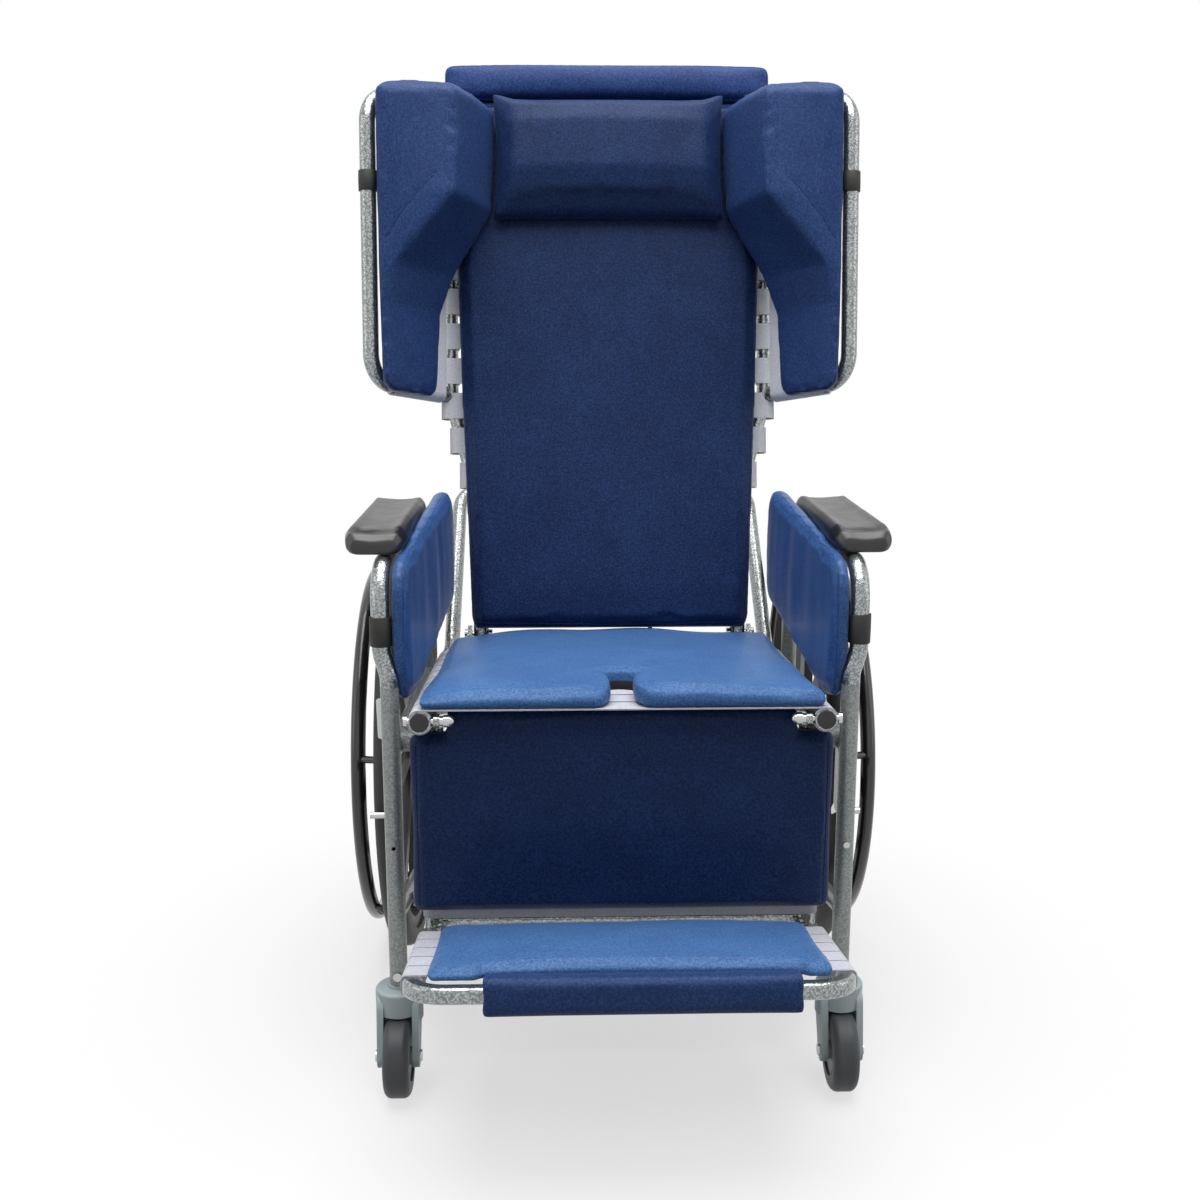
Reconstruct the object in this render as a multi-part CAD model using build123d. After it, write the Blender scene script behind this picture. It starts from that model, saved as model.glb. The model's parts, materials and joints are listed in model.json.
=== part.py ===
from build123d import *
import os
from math import atan2, cos, degrees, hypot, radians, sin

# Tilt in space wheelchair, millimetres.
# X runs across the chair (the sitter's left is +X), Y runs from the front to the back, Z is up from the floor.
# Y is measured from the front edge of the seat while the pieces are made, and every piece is then moved so that
# Y = 0 is the middle of the chair's length.

# ---- driving dimensions: base ------------------------------------------------
FRAME_TUBE = 22.2          # round frame tube, outside
TUBE_WALL = 2.0
POST_X = 273.0             # front post, from the middle plane
POST_Y = 71.0
POST_TOP = 515.0
REAR_POST_X = 262.0
REAR_POST_Y = 455.0
UPPER_RAIL_Z = 430.0
LOWER_RAIL_Z = 165.0
RAIL_TAIL = 130.0          # lower rail behind the rear post
RAIL_TUBE = 20.0
RAIL_LAP = 3.0             # lower rail's end, drawn past the face it is butted to and then cut back
FRONT_CROSS_Y = 150.0
HOLE_Z = 316.0             # accessory hole in one front post, button in the other
HOLE_D = 5.0
BUTTON_D = 8.0
SCREW_D = 11.0
SCREW_Z = 150.0
PLATE_THICK = 6.0
AXLE_BOSS_D = 32.0
HUB_HALF = 25.0
FIT = 0.05                 # radial running fit of shafts and bolts
SLIDE_FIT = 0.08           # radial fit of telescoping tubes
SKIN_GAP = 0.4             # soft pieces to their neighbours

# ---- rear wheels ---------------------------------------------------------------
WHEEL_R = 305.0            # 24 inch tyre
WHEEL_Y = 523.0
TYRE_OUTER_X = 318.6
TYRE_W = 34.0
TYRE_H = 25.0
RIM_DEPTH = 17.0
RIM_W = 24.0
SPOKES = 8
SPOKE_W = 30.0
SPOKE_T = 13.0
HUB_D = 58.0
AXLE_D = 12.7
HANDRIM_R = 256.0          # to the middle of its tube
HANDRIM_TUBE = 20.0
HANDRIM_X = 343.5
HANDRIM_TABS = 6
TAB_D = 10.0
TAB_ANGLE = 12.0           # first tab above the horizontal, at the front

# ---- casters -------------------------------------------------------------------
CASTER_R = 50.0
CASTER_W = 32.0
CASTER_TRAIL = 22.0
CASTER_HUB_R = 31.0
FORK_HOUSING_D = 58.0
FORK_TOP = 133.0
FORK_HOUSING_H = 41.0
FORK_LEG_T = 8.0
FORK_LEG_BOSS_R = 14.0
FORK_SIDE_GAP = 1.5
STEM_D = 12.0
STEM_L = 62.0
CASTER_AXLE_D = 8.0
COLLAR_D = 28.0

# ---- anti-tip --------------------------------------------------------------------
TIP_WHEEL_R = 25.0
TIP_WHEEL_W = 16.0
TIP_WHEEL_Y = 788.0
TIP_WHEEL_LIFT = 22.0
TIP_TUBE = 17.8
TIP_AXLE_D = 8.0

# ---- wheel lock ------------------------------------------------------------------
LOCK_Y = 170.0
LOCK_Z = 330.0
LOCK_PLATE = 4.0
LOCK_BAR_D = 9.0
LOCK_BAR_Z = 301.0
LOCK_HANDLE_Y = 150.0
LOCK_HANDLE_Z = 462.0
LOCK_GAP = 0.5
LOCK_PIN_D = 8.0
LOCK_GRIP_D = 15.0

# ---- seat ------------------------------------------------------------------------
SEAT_TUBE = 25.4
SEAT_X = 231.5
SEAT_FRONT_Z = 492.4       # tube axis at its front end
SEAT_FRONT_Y = -2.0
SEAT_SLOPE = 4.7           # degrees, rear lower
SEAT_TUBE_L = 448.0
STRAP_T = 1.6
STRAP_SLACK = 0.1          # a strap's turn to its tube
STRAP_W = 37.0
SEAT_STRAPS = 10
SEAT_STRAP_PITCH = 42.0
SEAT_CUSHION_FRONT = 231.0
SEAT_CUSHION_REAR = 225.0
SEAT_CUSHION_L = 444.0
SEAT_CUSHION_T = 16.0
SEAT_CROWN = 10.0
NOTCH_R = 22.0
NOTCH_Y = 92.0
NOTCH_NECK = 15.5
NOTCH_FLARE = 27.0
CROSS_TUBE = 22.0
SEAT_CROSS_FRONT = 100.0
SEAT_CROSS_MIDDLE = 302.0
SEAT_CROSS_REAR = SEAT_TUBE_L - 18.0

# ---- tilt and recline pivots -------------------------------------------------------
TILT_Y = 100.0
TILT_Z = 440.0
TILT_BOLT_D = 10.0
TILT_BOSS_D = 28.0
LUG_T = 6.0
HOOP_TUBE = 22.0
HOOP_Y = 737.0
HOOP_Z = 662.0

# ---- back --------------------------------------------------------------------------
BACK_ANGLE = 12.3          # degrees from upright at rest
BACK_Y = 420.0             # cushion face at its foot
BACK_Z = 519.5
BACK_L = 783.0
BACK_TUBE = 22.0
BACK_X = 229.0
BACK_WAIST_X = 187.0
WAIST_LOW = 165.0
WAIST_HIGH = 318.0
WAIST_ROOM = 1.3           # extra draw of a strap's turn where the tube slants and bends
BACK_PIVOT_L = -25.0
BACK_STRAP_H = 37.0
BACK_STRAP_PITCH = 50.3
BACK_STRAP_FIRST = 54.0
BACK_STRAPS = 14
BACK_CUSHION_T = 38.0
BACK_CROWN = 7.0
BACK_CUSHION_LOW = 200.0
BACK_CUSHION_HIGH = 216.0
BACK_CROSS_D = 12.0
RECLINE_BOLT_D = 8.0
TOP_PAD_X = 233.0
TOP_PAD_FOOT = 738.0
TOP_PAD_RISE = 8.0
PILLOW_X = 157.0
PILLOW_TOP = 730.0
PILLOW_FOOT = 560.0
PILLOW_T = 44.0
PILLOW_CROWN = 10.0
GRIP_L = 118.0
GRIP_OFFSET = 34.0
STUB_D = 20.0
GRIP_D = 34.0
GRIP_HEIGHT = 660.0
LEVER_T = 6.0
LEVER_DROP = 28.0
LEVER_PIVOT_Y = 74.0
LEVER_PIN_D = 5.0

# ---- wings -------------------------------------------------------------------------
WING_X = 328.0
WING_TOP = 712.0
WING_FOOT = 322.0
WING_FRONT_TOP = 107.0     # tube axis in front of the back's face plane, at the top
WING_FRONT_FOOT = 72.0
WING_BEND = 42.0
WING_STRAPS = 3
WING_STRAP_W = 34.0
WING_STRAP_FIRST = 0.2     # places of the straps, as shares of the wing tube's run
WING_STRAP_STEP = 0.21
WING_PAD_FOOT = 309.0
WING_PAD_TOP = 723.0

# ---- arms --------------------------------------------------------------------------
ARM_X = 281.0
ARM_Z = 655.0
ARM_STUB = 96.0
ARM_BEND = 44.0
ARM_PAD_X = 291.5
ARM_PAD_TOP = 695.0
ARM_PAD_FRONT = 103.0
ARM_PAD_L = 314.0
ARM_PAD_W = 72.0
PANEL_FRONT = 60.0
PANEL_REAR = 424.0
PANEL_OUT_FRONT = 269.0
PANEL_OUT_REAR = 247.0
PANEL_T = 20.0
PANEL_T_REAR = 30.0
PANEL_OVERLAP = 35.0       # panel beside the front post, below the post's top

# ---- leg rest and foot board ---------------------------------------------------------
LEG_PIVOT_Y = 5.0
LEG_BOLT_D = 8.0
LEG_EYE_D = 14.6
LEG_LUG_X = 212.5
LEG_LUG_T = 7.0
LEG_TUBE = 19.0
LEG_TUBE_X = 228.0
LEG_TUBE_Y = 58.0
LEG_TUBE_FOOT = 206.0
LEG_TUBE_TOP = 466.0
LEG_CROSS_D = 14.0
LEG_STRAPS = 5
LEG_STRAP_FIRST = 232.0
LEG_STRAP_PITCH = 44.0
LEG_STRAP_H = 36.0
CALF_X = 246.0
CALF_TOP = 500.0
CALF_FOOT = 250.0
CALF_SHOULDER = 468.0
CALF_NECK_X = 202.0
CALF_FRONT = 14.0
CALF_CROWN = 3.0
FOOT_PIN_D = 8.0
FOOT_TAIL = 10.0
FOOT_STRAP_FIRST = 12.0
FOOT_STRAP_W = 34.0
FOOT_PIVOT_Y = 24.0
FOOT_PIVOT_Z = 218.0
FOOT_FRONT_Y = -200.0
FOOT_FRONT_Z = 262.0
FOOT_X = 230.0
FOOT_BAR_H = 18.0
FOOT_BAR_W = 20.0
FOOT_BEND = 38.0
FOOT_STRAPS = 5
FOOT_STRAP_PITCH = 37.0
FOOT_PAD_X = 212.0
FOOT_PAD_T = 14.0
FOOT_PAD_FRONT = 16.0      # pad's edges, in from the front bar and from the pivot
FOOT_PAD_REAR = 34.0
FOOT_CROWN = 6.0
ROLL_L = 330.0
ROLL_SHIFT = 12.0          # the sleeve sits towards the chair's left
ROLL_WALL = 6.0
ROLL_DEPTH = 32.0
ROLL_H = 42.0
ROLL_DROP = 1.0

# ---- gas springs -----------------------------------------------------------------------
SPRING_D = 22.0
SPRING_ROD_D = 10.0
SPRING_EYE_D = 22.0
SPRING_EYE_W = 12.0
SPRING_PIN_D = 8.0
SPRING_BORE_FOOT = 15.0    # the cylinder's bore, from the middle of its foot eye
TILT_SPRING_X = -70.0
TILT_SPRING_Y = 290.0      # pin under the seat
TILT_SPRING_Z = 436.0
TILT_FOOT_Y = 160.0        # pin on the base's front cross tube
TILT_FOOT_Z = 245.0
TILT_SPRING_BODY = 140.0
TILT_STROKE = 74.0
RECLINE_SPRING_X = 70.0
RECLINE_SPRING_Y = 322.0   # pin under the seat
RECLINE_SPRING_Z = 440.0
RECLINE_PIN_Y = 494.6      # pin on the back's lower arm
RECLINE_PIN_Z = 432.2
RECLINE_SPRING_BODY = 85.0
RECLINE_STROKE = 34.5
OPEN_PIVOT_GAP = 1.8       # radial room at each spring's opened rod-end pivot

# ---- worked out ---------------------------------------------------------------------------
TYRE_X = TYRE_OUTER_X - TYRE_W / 2
REAR_Y = WHEEL_Y + WHEEL_R
SIDES = (("right", -1), ("left", 1))
SEAT_ANGLE = radians(SEAT_SLOPE)
BACK_RAD = radians(BACK_ANGLE)
FOOT_SLOPE = degrees(atan2(FOOT_FRONT_Z - FOOT_PIVOT_Z, FOOT_PIVOT_Y - FOOT_FRONT_Y))
FOOT_L = hypot(FOOT_FRONT_Z - FOOT_PIVOT_Z, FOOT_PIVOT_Y - FOOT_FRONT_Y)
BACK_TUBE_DEPTH = BACK_CUSHION_T + SKIN_GAP + STRAP_T + 0.1 + BACK_TUBE / 2

os.makedirs("parts", exist_ok=True)


# ---- helpers ----------------------------------------------------------------------------------
def solids_of(shape):
    """Every solid in a shape or in a list of shapes."""
    if isinstance(shape, (list, tuple)):
        return [solid for one in shape for solid in solids_of(one)]
    return list(shape.solids())


def save(name, *shapes):
    """Write one node, moved so that Y = 0 is the middle of the chair."""
    solids = [solid.moved(Location((0, -MID_Y, 0))) for solid in solids_of(list(shapes))]
    export_step(solids[0] if len(solids) == 1 else Compound(children=solids), f"parts/{name}.step")


def rod(a, b, diameter):
    """A round bar from point a to point b."""
    a, b = Vector(*a), Vector(*b)
    plane = Plane(origin=a, z_dir=b - a)
    return extrude(plane * Circle(diameter / 2), amount=(b - a).length)


def pipe(a, b, outside, wall):
    """A straight tube from point a to point b."""
    a, b = Vector(*a), Vector(*b)
    plane = Plane(origin=a, z_dir=b - a)
    return extrude(plane * (Circle(outside / 2) - Circle(outside / 2 - wall)), amount=(b - a).length)


def bent(points, radii, outside, wall=None):
    """A tube bent along straight runs joined by tangent arcs; solid where no wall is given."""
    path = FilletPolyline(*points, radius=radii)
    section = Circle(outside / 2)
    if wall:
        section = section - Circle(outside / 2 - wall)
    start = Plane(origin=path @ 0, z_dir=path % 0)
    return sweep(start * section, path=path)


def cross(x0, x1, y, z, diameter):
    """A round bar that lies across the chair."""
    return rod((x0, y, z), (x1, y, z), diameter)


def plate(x0, x1, outline):
    """A flat plate that stands fore and aft, with its outline given in (y, z)."""
    face = make_face(Polyline(*[(x0, y, z) for y, z in outline], close=True))
    return extrude(face, amount=x1 - x0, dir=(1, 0, 0))


def fused(shapes):
    """One welded solid."""
    total = shapes[0]
    for shape in shapes[1:]:
        total = total + shape
    return total


def seat_point(y, rise=0.0):
    """(y, z) of a point y along the seat tube from its front end and rise above its axis."""
    return (
        SEAT_FRONT_Y + y * cos(SEAT_ANGLE) + rise * sin(SEAT_ANGLE),
        SEAT_FRONT_Z - y * sin(SEAT_ANGLE) + rise * cos(SEAT_ANGLE),
    )


def seat_place():
    return Location((0, SEAT_FRONT_Y, SEAT_FRONT_Z), (-SEAT_SLOPE, 0, 0))


def back_point(depth, up):
    """(y, z) of a point up the back and depth behind the plane of its cushion's face."""
    return (
        BACK_Y + depth * cos(BACK_RAD) + up * sin(BACK_RAD),
        BACK_Z - depth * sin(BACK_RAD) + up * cos(BACK_RAD),
    )


def back_place():
    return Location((0, BACK_Y, BACK_Z), (-BACK_ANGLE, 0, 0))


def foot_place():
    return Location((0, FOOT_PIVOT_Y, FOOT_PIVOT_Z), (-FOOT_SLOPE, 0, 0))


def rail_x(y):
    """Middle of the side rails, which draw in from the front post to the rear post."""
    share = (y - POST_Y) / (REAR_POST_Y - POST_Y)
    return POST_X + (REAR_POST_X - POST_X) * share


def lower_rail_z(y):
    """Height of the lower rail, which falls from above the caster stem to the rear post."""
    share = (REAR_POST_Y - FRAME_TUBE - y) / (REAR_POST_Y - FRAME_TUBE - POST_Y)
    return LOWER_RAIL_Z + STEM_L * share


def hull_plate(x0, x1, circles):
    """A flat fore-and-aft plate, the hull of circles given as (y, z, radius)."""
    plane = Plane(origin=(x0, 0, 0), x_dir=(0, 1, 0), z_dir=(1, 0, 0))
    edges = [edge for y, z, r in circles for edge in (Pos(y, z) * Circle(r)).edges()]
    return extrude(plane * make_hull(edges), amount=x1 - x0)


def spring_lug(x, y, z, root_y, root_z):
    """Lug beside a gas spring's eye, from the tube at the root to the pin that the eye turns on."""
    near = x - SPRING_EYE_W / 2 - 0.5
    body = hull_plate(near - LUG_T, near, [(y, z, 9), (root_y, root_z, 9)])
    pin = cross(near - LUG_T, x + SPRING_EYE_W / 2 + 2, y, z, SPRING_PIN_D)
    return body + pin


def ring_face(plane, corners, bulges):
    """A closed outline through corners, each side an arc that stands out by its bulge, or a line."""
    edges = []
    for i, (x0, y0) in enumerate(corners):
        x1, y1 = corners[(i + 1) % len(corners)]
        bulge = bulges[i]
        if abs(bulge) < 0.01:
            edges.append(Line((x0, y0), (x1, y1)))
            continue
        length = hypot(x1 - x0, y1 - y0)
        nx, ny = (y1 - y0) / length, -(x1 - x0) / length
        middle = ((x0 + x1) / 2 + nx * bulge, (y0 + y1) / 2 + ny * bulge)
        edges.append(ThreePointArc((x0, y0), middle, (x1, y1)))
    return plane * make_face(edges)


def pad(stations, thick, crown, edge_share=0.42, flat=True):
    """A cushion whose length runs along Y, its top up.

    Each station is (y, half width, share of the thickness); the crown is an arc across the top, the sides are
    arcs, and the underside is flat or an arc.
    """
    faces = []
    for y, half, share in stations:
        high = thick * share
        low = (thick - high) / 2
        if flat:
            low = 0.0
        side = high * edge_share
        inner = half - side
        corners = [(-inner, low), (inner, low), (inner, low + high), (-inner, low + high)]
        under = 0.0
        if not flat:
            under = crown * share
        bulges = [under, side, crown * share, side]
        plane = Plane(origin=(0, y, 0), x_dir=(1, 0, 0), z_dir=(0, -1, 0))
        faces.append(ring_face(plane, corners, bulges))
    return loft(faces, ruled=True)


# ---- base -------------------------------------------------------------------------------------
def side_frame(side):
    """One side: front post, rear post with its axle plate, and two rails butted to the posts."""
    post_foot = FORK_TOP + 4.0
    bore = STEM_D + 2 * FIT
    post = pipe((side * POST_X, POST_Y, post_foot), (side * POST_X, POST_Y, POST_TOP), FRAME_TUBE, TUBE_WALL)
    bush = pipe(
        (side * POST_X, POST_Y, post_foot),
        (side * POST_X, POST_Y, post_foot + STEM_L + 6),
        FRAME_TUBE,
        (FRAME_TUBE - bore) / 2,
    )
    rear = pipe(
        (side * REAR_POST_X, REAR_POST_Y, LOWER_RAIL_Z),
        (side * REAR_POST_X, REAR_POST_Y, POST_TOP),
        FRAME_TUBE,
        TUBE_WALL,
    )
    inside = FRAME_TUBE / 2 - TUBE_WALL - 0.1
    front_end = POST_Y + inside
    rear_end = REAR_POST_Y - inside
    upper = rod(
        (side * rail_x(front_end), front_end, UPPER_RAIL_Z),
        (side * rail_x(rear_end), rear_end, UPPER_RAIL_Z),
        RAIL_TUBE,
    )
    tail = REAR_POST_Y + RAIL_TAIL
    lower_end = REAR_POST_Y - FRAME_TUBE + RAIL_LAP
    lower = rod(
        (side * rail_x(front_end), front_end, lower_rail_z(front_end)),
        (side * rail_x(lower_end), lower_end, lower_rail_z(lower_end)),
        RAIL_TUBE,
    )
    foot = rod(
        (side * REAR_POST_X, REAR_POST_Y - FRAME_TUBE, LOWER_RAIL_Z),
        (side * REAR_POST_X, tail, LOWER_RAIL_Z),
        FRAME_TUBE,
    )
    socket = rod(
        (side * REAR_POST_X, tail - 60, LOWER_RAIL_Z),
        (side * REAR_POST_X, tail, LOWER_RAIL_Z),
        FRAME_TUBE - 2 * TUBE_WALL,
    )
    middle = side * REAR_POST_X
    outline = [
        (REAR_POST_Y, LOWER_RAIL_Z),
        (tail - 30, LOWER_RAIL_Z),
        (WHEEL_Y + 30, WHEEL_R + 20),
        (WHEEL_Y, WHEEL_R + 34),
        (REAR_POST_Y, WHEEL_R + 80),
    ]
    gusset = plate(middle - PLATE_THICK / 2, middle + PLATE_THICK / 2, outline)
    boss_in = side * (REAR_POST_X - FRAME_TUBE / 2)
    boss_out = side * (TYRE_X - HUB_HALF - 1)
    boss = cross(boss_in, boss_out, WHEEL_Y, WHEEL_R, AXLE_BOSS_D)
    axle_bore = cross(boss_in - side, boss_out + side, WHEEL_Y, WHEEL_R, AXLE_D + 2 * FIT)
    tilt_in = side * (SEAT_X + LUG_T)
    tilt_out = side * (rail_x(TILT_Y) + 6)
    tilt_boss = cross(tilt_in, tilt_out, TILT_Y, TILT_Z, TILT_BOSS_D)
    tilt_bore = cross(tilt_in - side, tilt_out - side * 4, TILT_Y, TILT_Z, TILT_BOLT_D + 2 * FIT)
    front_room = rod((side * POST_X, POST_Y, post_foot), (side * POST_X, POST_Y, POST_TOP), FRAME_TUBE)
    rear_room = rod((middle, REAR_POST_Y, LOWER_RAIL_Z), (middle, REAR_POST_Y, POST_TOP), FRAME_TUBE)
    front_post = post + bush
    if side < 0:
        front_post = front_post - rod(
            (side * POST_X, POST_Y - FRAME_TUBE, HOLE_Z),
            (side * POST_X, POST_Y, HOLE_Z),
            HOLE_D,
        )
    rear_post = fused([rear, foot, gusset, boss]) - socket - axle_bore - rod(
        (middle, REAR_POST_Y, POST_TOP - ARM_STUB - 4),
        (middle, REAR_POST_Y, POST_TOP + 1),
        FRAME_TUBE - 2 * TUBE_WALL,
    )
    upper_rail = upper + tilt_boss - tilt_bore - front_room - rear_room
    lower_rail = lower - front_room - foot
    return [front_post, rear_post, upper_rail, lower_rail]


def base():
    for name, side in SIDES:
        save(f"side_frame_{name}", side_frame(side))
    half_rear = REAR_POST_X - FRAME_TUBE / 2
    half_front = rail_x(FRONT_CROSS_Y + CROSS_TUBE / 2) - RAIL_TUBE / 2
    front_z = lower_rail_z(FRONT_CROSS_Y)
    tilt_lug = spring_lug(TILT_SPRING_X, TILT_FOOT_Y, TILT_FOOT_Z, FRONT_CROSS_Y, front_z)
    save(
        "base_cross_tubes",
        cross(-half_rear, half_rear, REAR_POST_Y, LOWER_RAIL_Z, CROSS_TUBE),
        cross(-half_front, half_front, FRONT_CROSS_Y, front_z, CROSS_TUBE) + tilt_lug,
    )
    save("rear_axles", [rear_axle(side) for _, side in SIDES])
    save("anti_tip_tubes", [anti_tip_tube(side) for _, side in SIDES])
    save("post_screws", post_screws())
    save("lock_brackets", [lock_bracket(side) for _, side in SIDES])


def rear_axle(side):
    """Quick-release axle: it passes the hub and ends in a button outside."""
    inner = side * (REAR_POST_X - FRAME_TUBE / 2 - 2)
    outer = side * (TYRE_X + HUB_HALF + 3)
    pin = cross(inner, outer, WHEEL_Y, WHEEL_R, AXLE_D)
    button = cross(side * (TYRE_X + HUB_HALF + 1), outer, WHEEL_Y, WHEEL_R, AXLE_D + 8)
    return pin + button


def anti_tip_tube(side):
    """Tube that plugs into the lower rail and carries a small wheel on a stub axle."""
    x = side * REAR_POST_X
    tail = REAR_POST_Y + RAIL_TAIL
    wheel_z = TIP_WHEEL_R + TIP_WHEEL_LIFT
    points = [(x, tail - 58, LOWER_RAIL_Z), (x, tail + 85, LOWER_RAIL_Z), (x, TIP_WHEEL_Y, wheel_z)]
    tube = bent(points, [60], TIP_TUBE)
    boss = cross(x + TIP_TUBE / 2, x - TIP_TUBE / 2, TIP_WHEEL_Y, wheel_z, TIP_TUBE)
    reach = TIP_TUBE / 2 + TIP_WHEEL_W + 2
    axle = cross(x, x - side * (reach + 3), TIP_WHEEL_Y, wheel_z, TIP_AXLE_D)
    head = cross(x - side * reach, x - side * (reach + 3), TIP_WHEEL_Y, wheel_z, TIP_AXLE_D + 6)
    return fused([tube, boss, axle, head])


def post_screws():
    """A domed screw low on each front post, and the arm-height button on the sitter's left post."""
    face = POST_Y - FRAME_TUBE / 2
    screws = []
    for x, z, size in ((-POST_X, SCREW_Z, SCREW_D), (POST_X, SCREW_Z, SCREW_D), (POST_X, HOLE_Z, BUTTON_D)):
        post = rod((x, POST_Y, z - 20), (x, POST_Y, z + 20), FRAME_TUBE + 0.04)
        screws.append(rod((x, face + 4, z), (x, face - 3, z), size) - post)
    return screws


def lock_side(side):
    """Outer face of the upper rail, where the wheel lock's bracket sits."""
    return side * (rail_x(LOCK_Y) + RAIL_TUBE / 2 + 0.2)


def lock_bracket(side):
    """Plate clamped on the upper rail, with the lever's pin."""
    x = lock_side(side)
    body = hull_plate(x, x + side * LOCK_PLATE, [(LOCK_Y, LOCK_Z, 12), (LOCK_Y, UPPER_RAIL_Z, 12)])
    clamp = hull_plate(x - side * RAIL_TUBE / 2, x, [(LOCK_Y, UPPER_RAIL_Z - 1, 12), (LOCK_Y, UPPER_RAIL_Z, 12)])
    rail = rod(
        (side * rail_x(POST_Y), POST_Y, UPPER_RAIL_Z),
        (side * rail_x(REAR_POST_Y), REAR_POST_Y, UPPER_RAIL_Z),
        RAIL_TUBE + 0.04,
    )
    far = x + side * (2 * LOCK_PLATE + 1)
    pin = cross(x, far + side * 3, LOCK_Y, LOCK_Z, LOCK_PIN_D)
    head = cross(far, far + side * 3, LOCK_Y, LOCK_Z, LOCK_PIN_D + 6)
    return fused([body, clamp, pin, head]) - rail


def lock_lever(side):
    """Lever plate with its grip above the pin and the shoe bar in front of the tyre."""
    near = lock_side(side) + side * (LOCK_PLATE + 0.5)
    far = near + side * LOCK_PLATE
    reach = WHEEL_R + LOCK_BAR_D / 2 + LOCK_GAP
    bar_y = WHEEL_Y - (reach**2 - (WHEEL_R - LOCK_BAR_Z) ** 2) ** 0.5
    arm = hull_plate(near, far, [(LOCK_Y, LOCK_Z, 11), (bar_y, LOCK_BAR_Z, LOCK_BAR_D / 2)])
    stem = hull_plate(near, far, [(LOCK_Y, LOCK_Z, 11), (LOCK_HANDLE_Y, LOCK_HANDLE_Z, 6)])
    middle = near + side * LOCK_GRIP_D / 2
    grip = rod(
        (middle, LOCK_HANDLE_Y + 5, LOCK_HANDLE_Z - 35),
        (middle, LOCK_HANDLE_Y - 2, LOCK_HANDLE_Z + 14),
        LOCK_GRIP_D,
    )
    bar = cross(near, side * (TYRE_OUTER_X + 3), bar_y, LOCK_BAR_Z, LOCK_BAR_D)
    bore = cross(near - side, far + side, LOCK_Y, LOCK_Z, LOCK_PIN_D + 2 * FIT)
    return fused([arm, stem, grip, bar]) - bore


def disc(x0, x1, y, z, outside, inside=0.0, edge=0.0):
    """A ring or disc that turns about a crosswise axis, its outer edges rounded."""
    ring = cross(x0, x1, y, z, 2 * outside)
    if edge:
        rims = ring.edges().filter_by(GeomType.CIRCLE)
        ring = fillet(rims, edge)
    if inside:
        ring = ring - cross(min(x0, x1) - 1, max(x0, x1) + 1, y, z, 2 * inside)
    return ring


def caster(name, side):
    """Fork, bolts, tyre and hub of one front caster."""
    x = side * POST_X
    wheel_y = POST_Y - CASTER_TRAIL
    housing_foot = FORK_TOP - FORK_HOUSING_H
    housing = rod((x, POST_Y, housing_foot), (x, POST_Y, FORK_TOP), FORK_HOUSING_D)
    housing = fillet(housing.edges().group_by(Axis.Z)[-1], 4)
    collar = rod((x, POST_Y, FORK_TOP - 1), (x, POST_Y, FORK_TOP + 3.7), COLLAR_D)
    inside = CASTER_W / 2 + FORK_SIDE_GAP
    outline = [(wheel_y, CASTER_R, FORK_LEG_BOSS_R), (POST_Y - 2, FORK_TOP - 26, FORK_HOUSING_D / 2 - 5)]
    legs = [hull_plate(x + s * inside, x + s * (inside + FORK_LEG_T), outline) for s in (-1, 1)]
    room = disc(x - inside, x + inside, wheel_y, CASTER_R, CASTER_R + 3)
    stem_bore = rod((x, POST_Y, 0), (x, POST_Y, FORK_TOP + 5), STEM_D + 2 * FIT)
    axle_bore = cross(x - 40, x + 40, wheel_y, CASTER_R, CASTER_AXLE_D + 2 * FIT)
    save(f"caster_fork_{name}", fused([housing, collar, *legs]) - room - stem_bore - axle_bore)
    stem_foot = CASTER_R + CASTER_R + 6
    stem = rod((x, POST_Y, stem_foot), (x, POST_Y, FORK_TOP + STEM_L), STEM_D)
    out = inside + FORK_LEG_T
    axle = fused(
        [
            cross(x - out - 2, x + out + 2, wheel_y, CASTER_R, CASTER_AXLE_D),
            cross(x - out - 3, x - out, wheel_y, CASTER_R, CASTER_AXLE_D + 6),
            cross(x + out, x + out + 3, wheel_y, CASTER_R, CASTER_AXLE_D + 6),
        ]
    )
    save(f"caster_bolts_{name}", stem, axle)
    half = CASTER_W / 2
    tyre = disc(x - half, x + half, wheel_y, CASTER_R, CASTER_R, CASTER_HUB_R, 9)
    save(f"caster_tyre_{name}", tyre)
    hub = disc(x - half + 3, x + half - 3, wheel_y, CASTER_R, CASTER_HUB_R)
    boss = disc(x - half - 1, x + half + 1, wheel_y, CASTER_R, 11)
    save(f"caster_hub_{name}", hub + boss - axle_bore)


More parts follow.
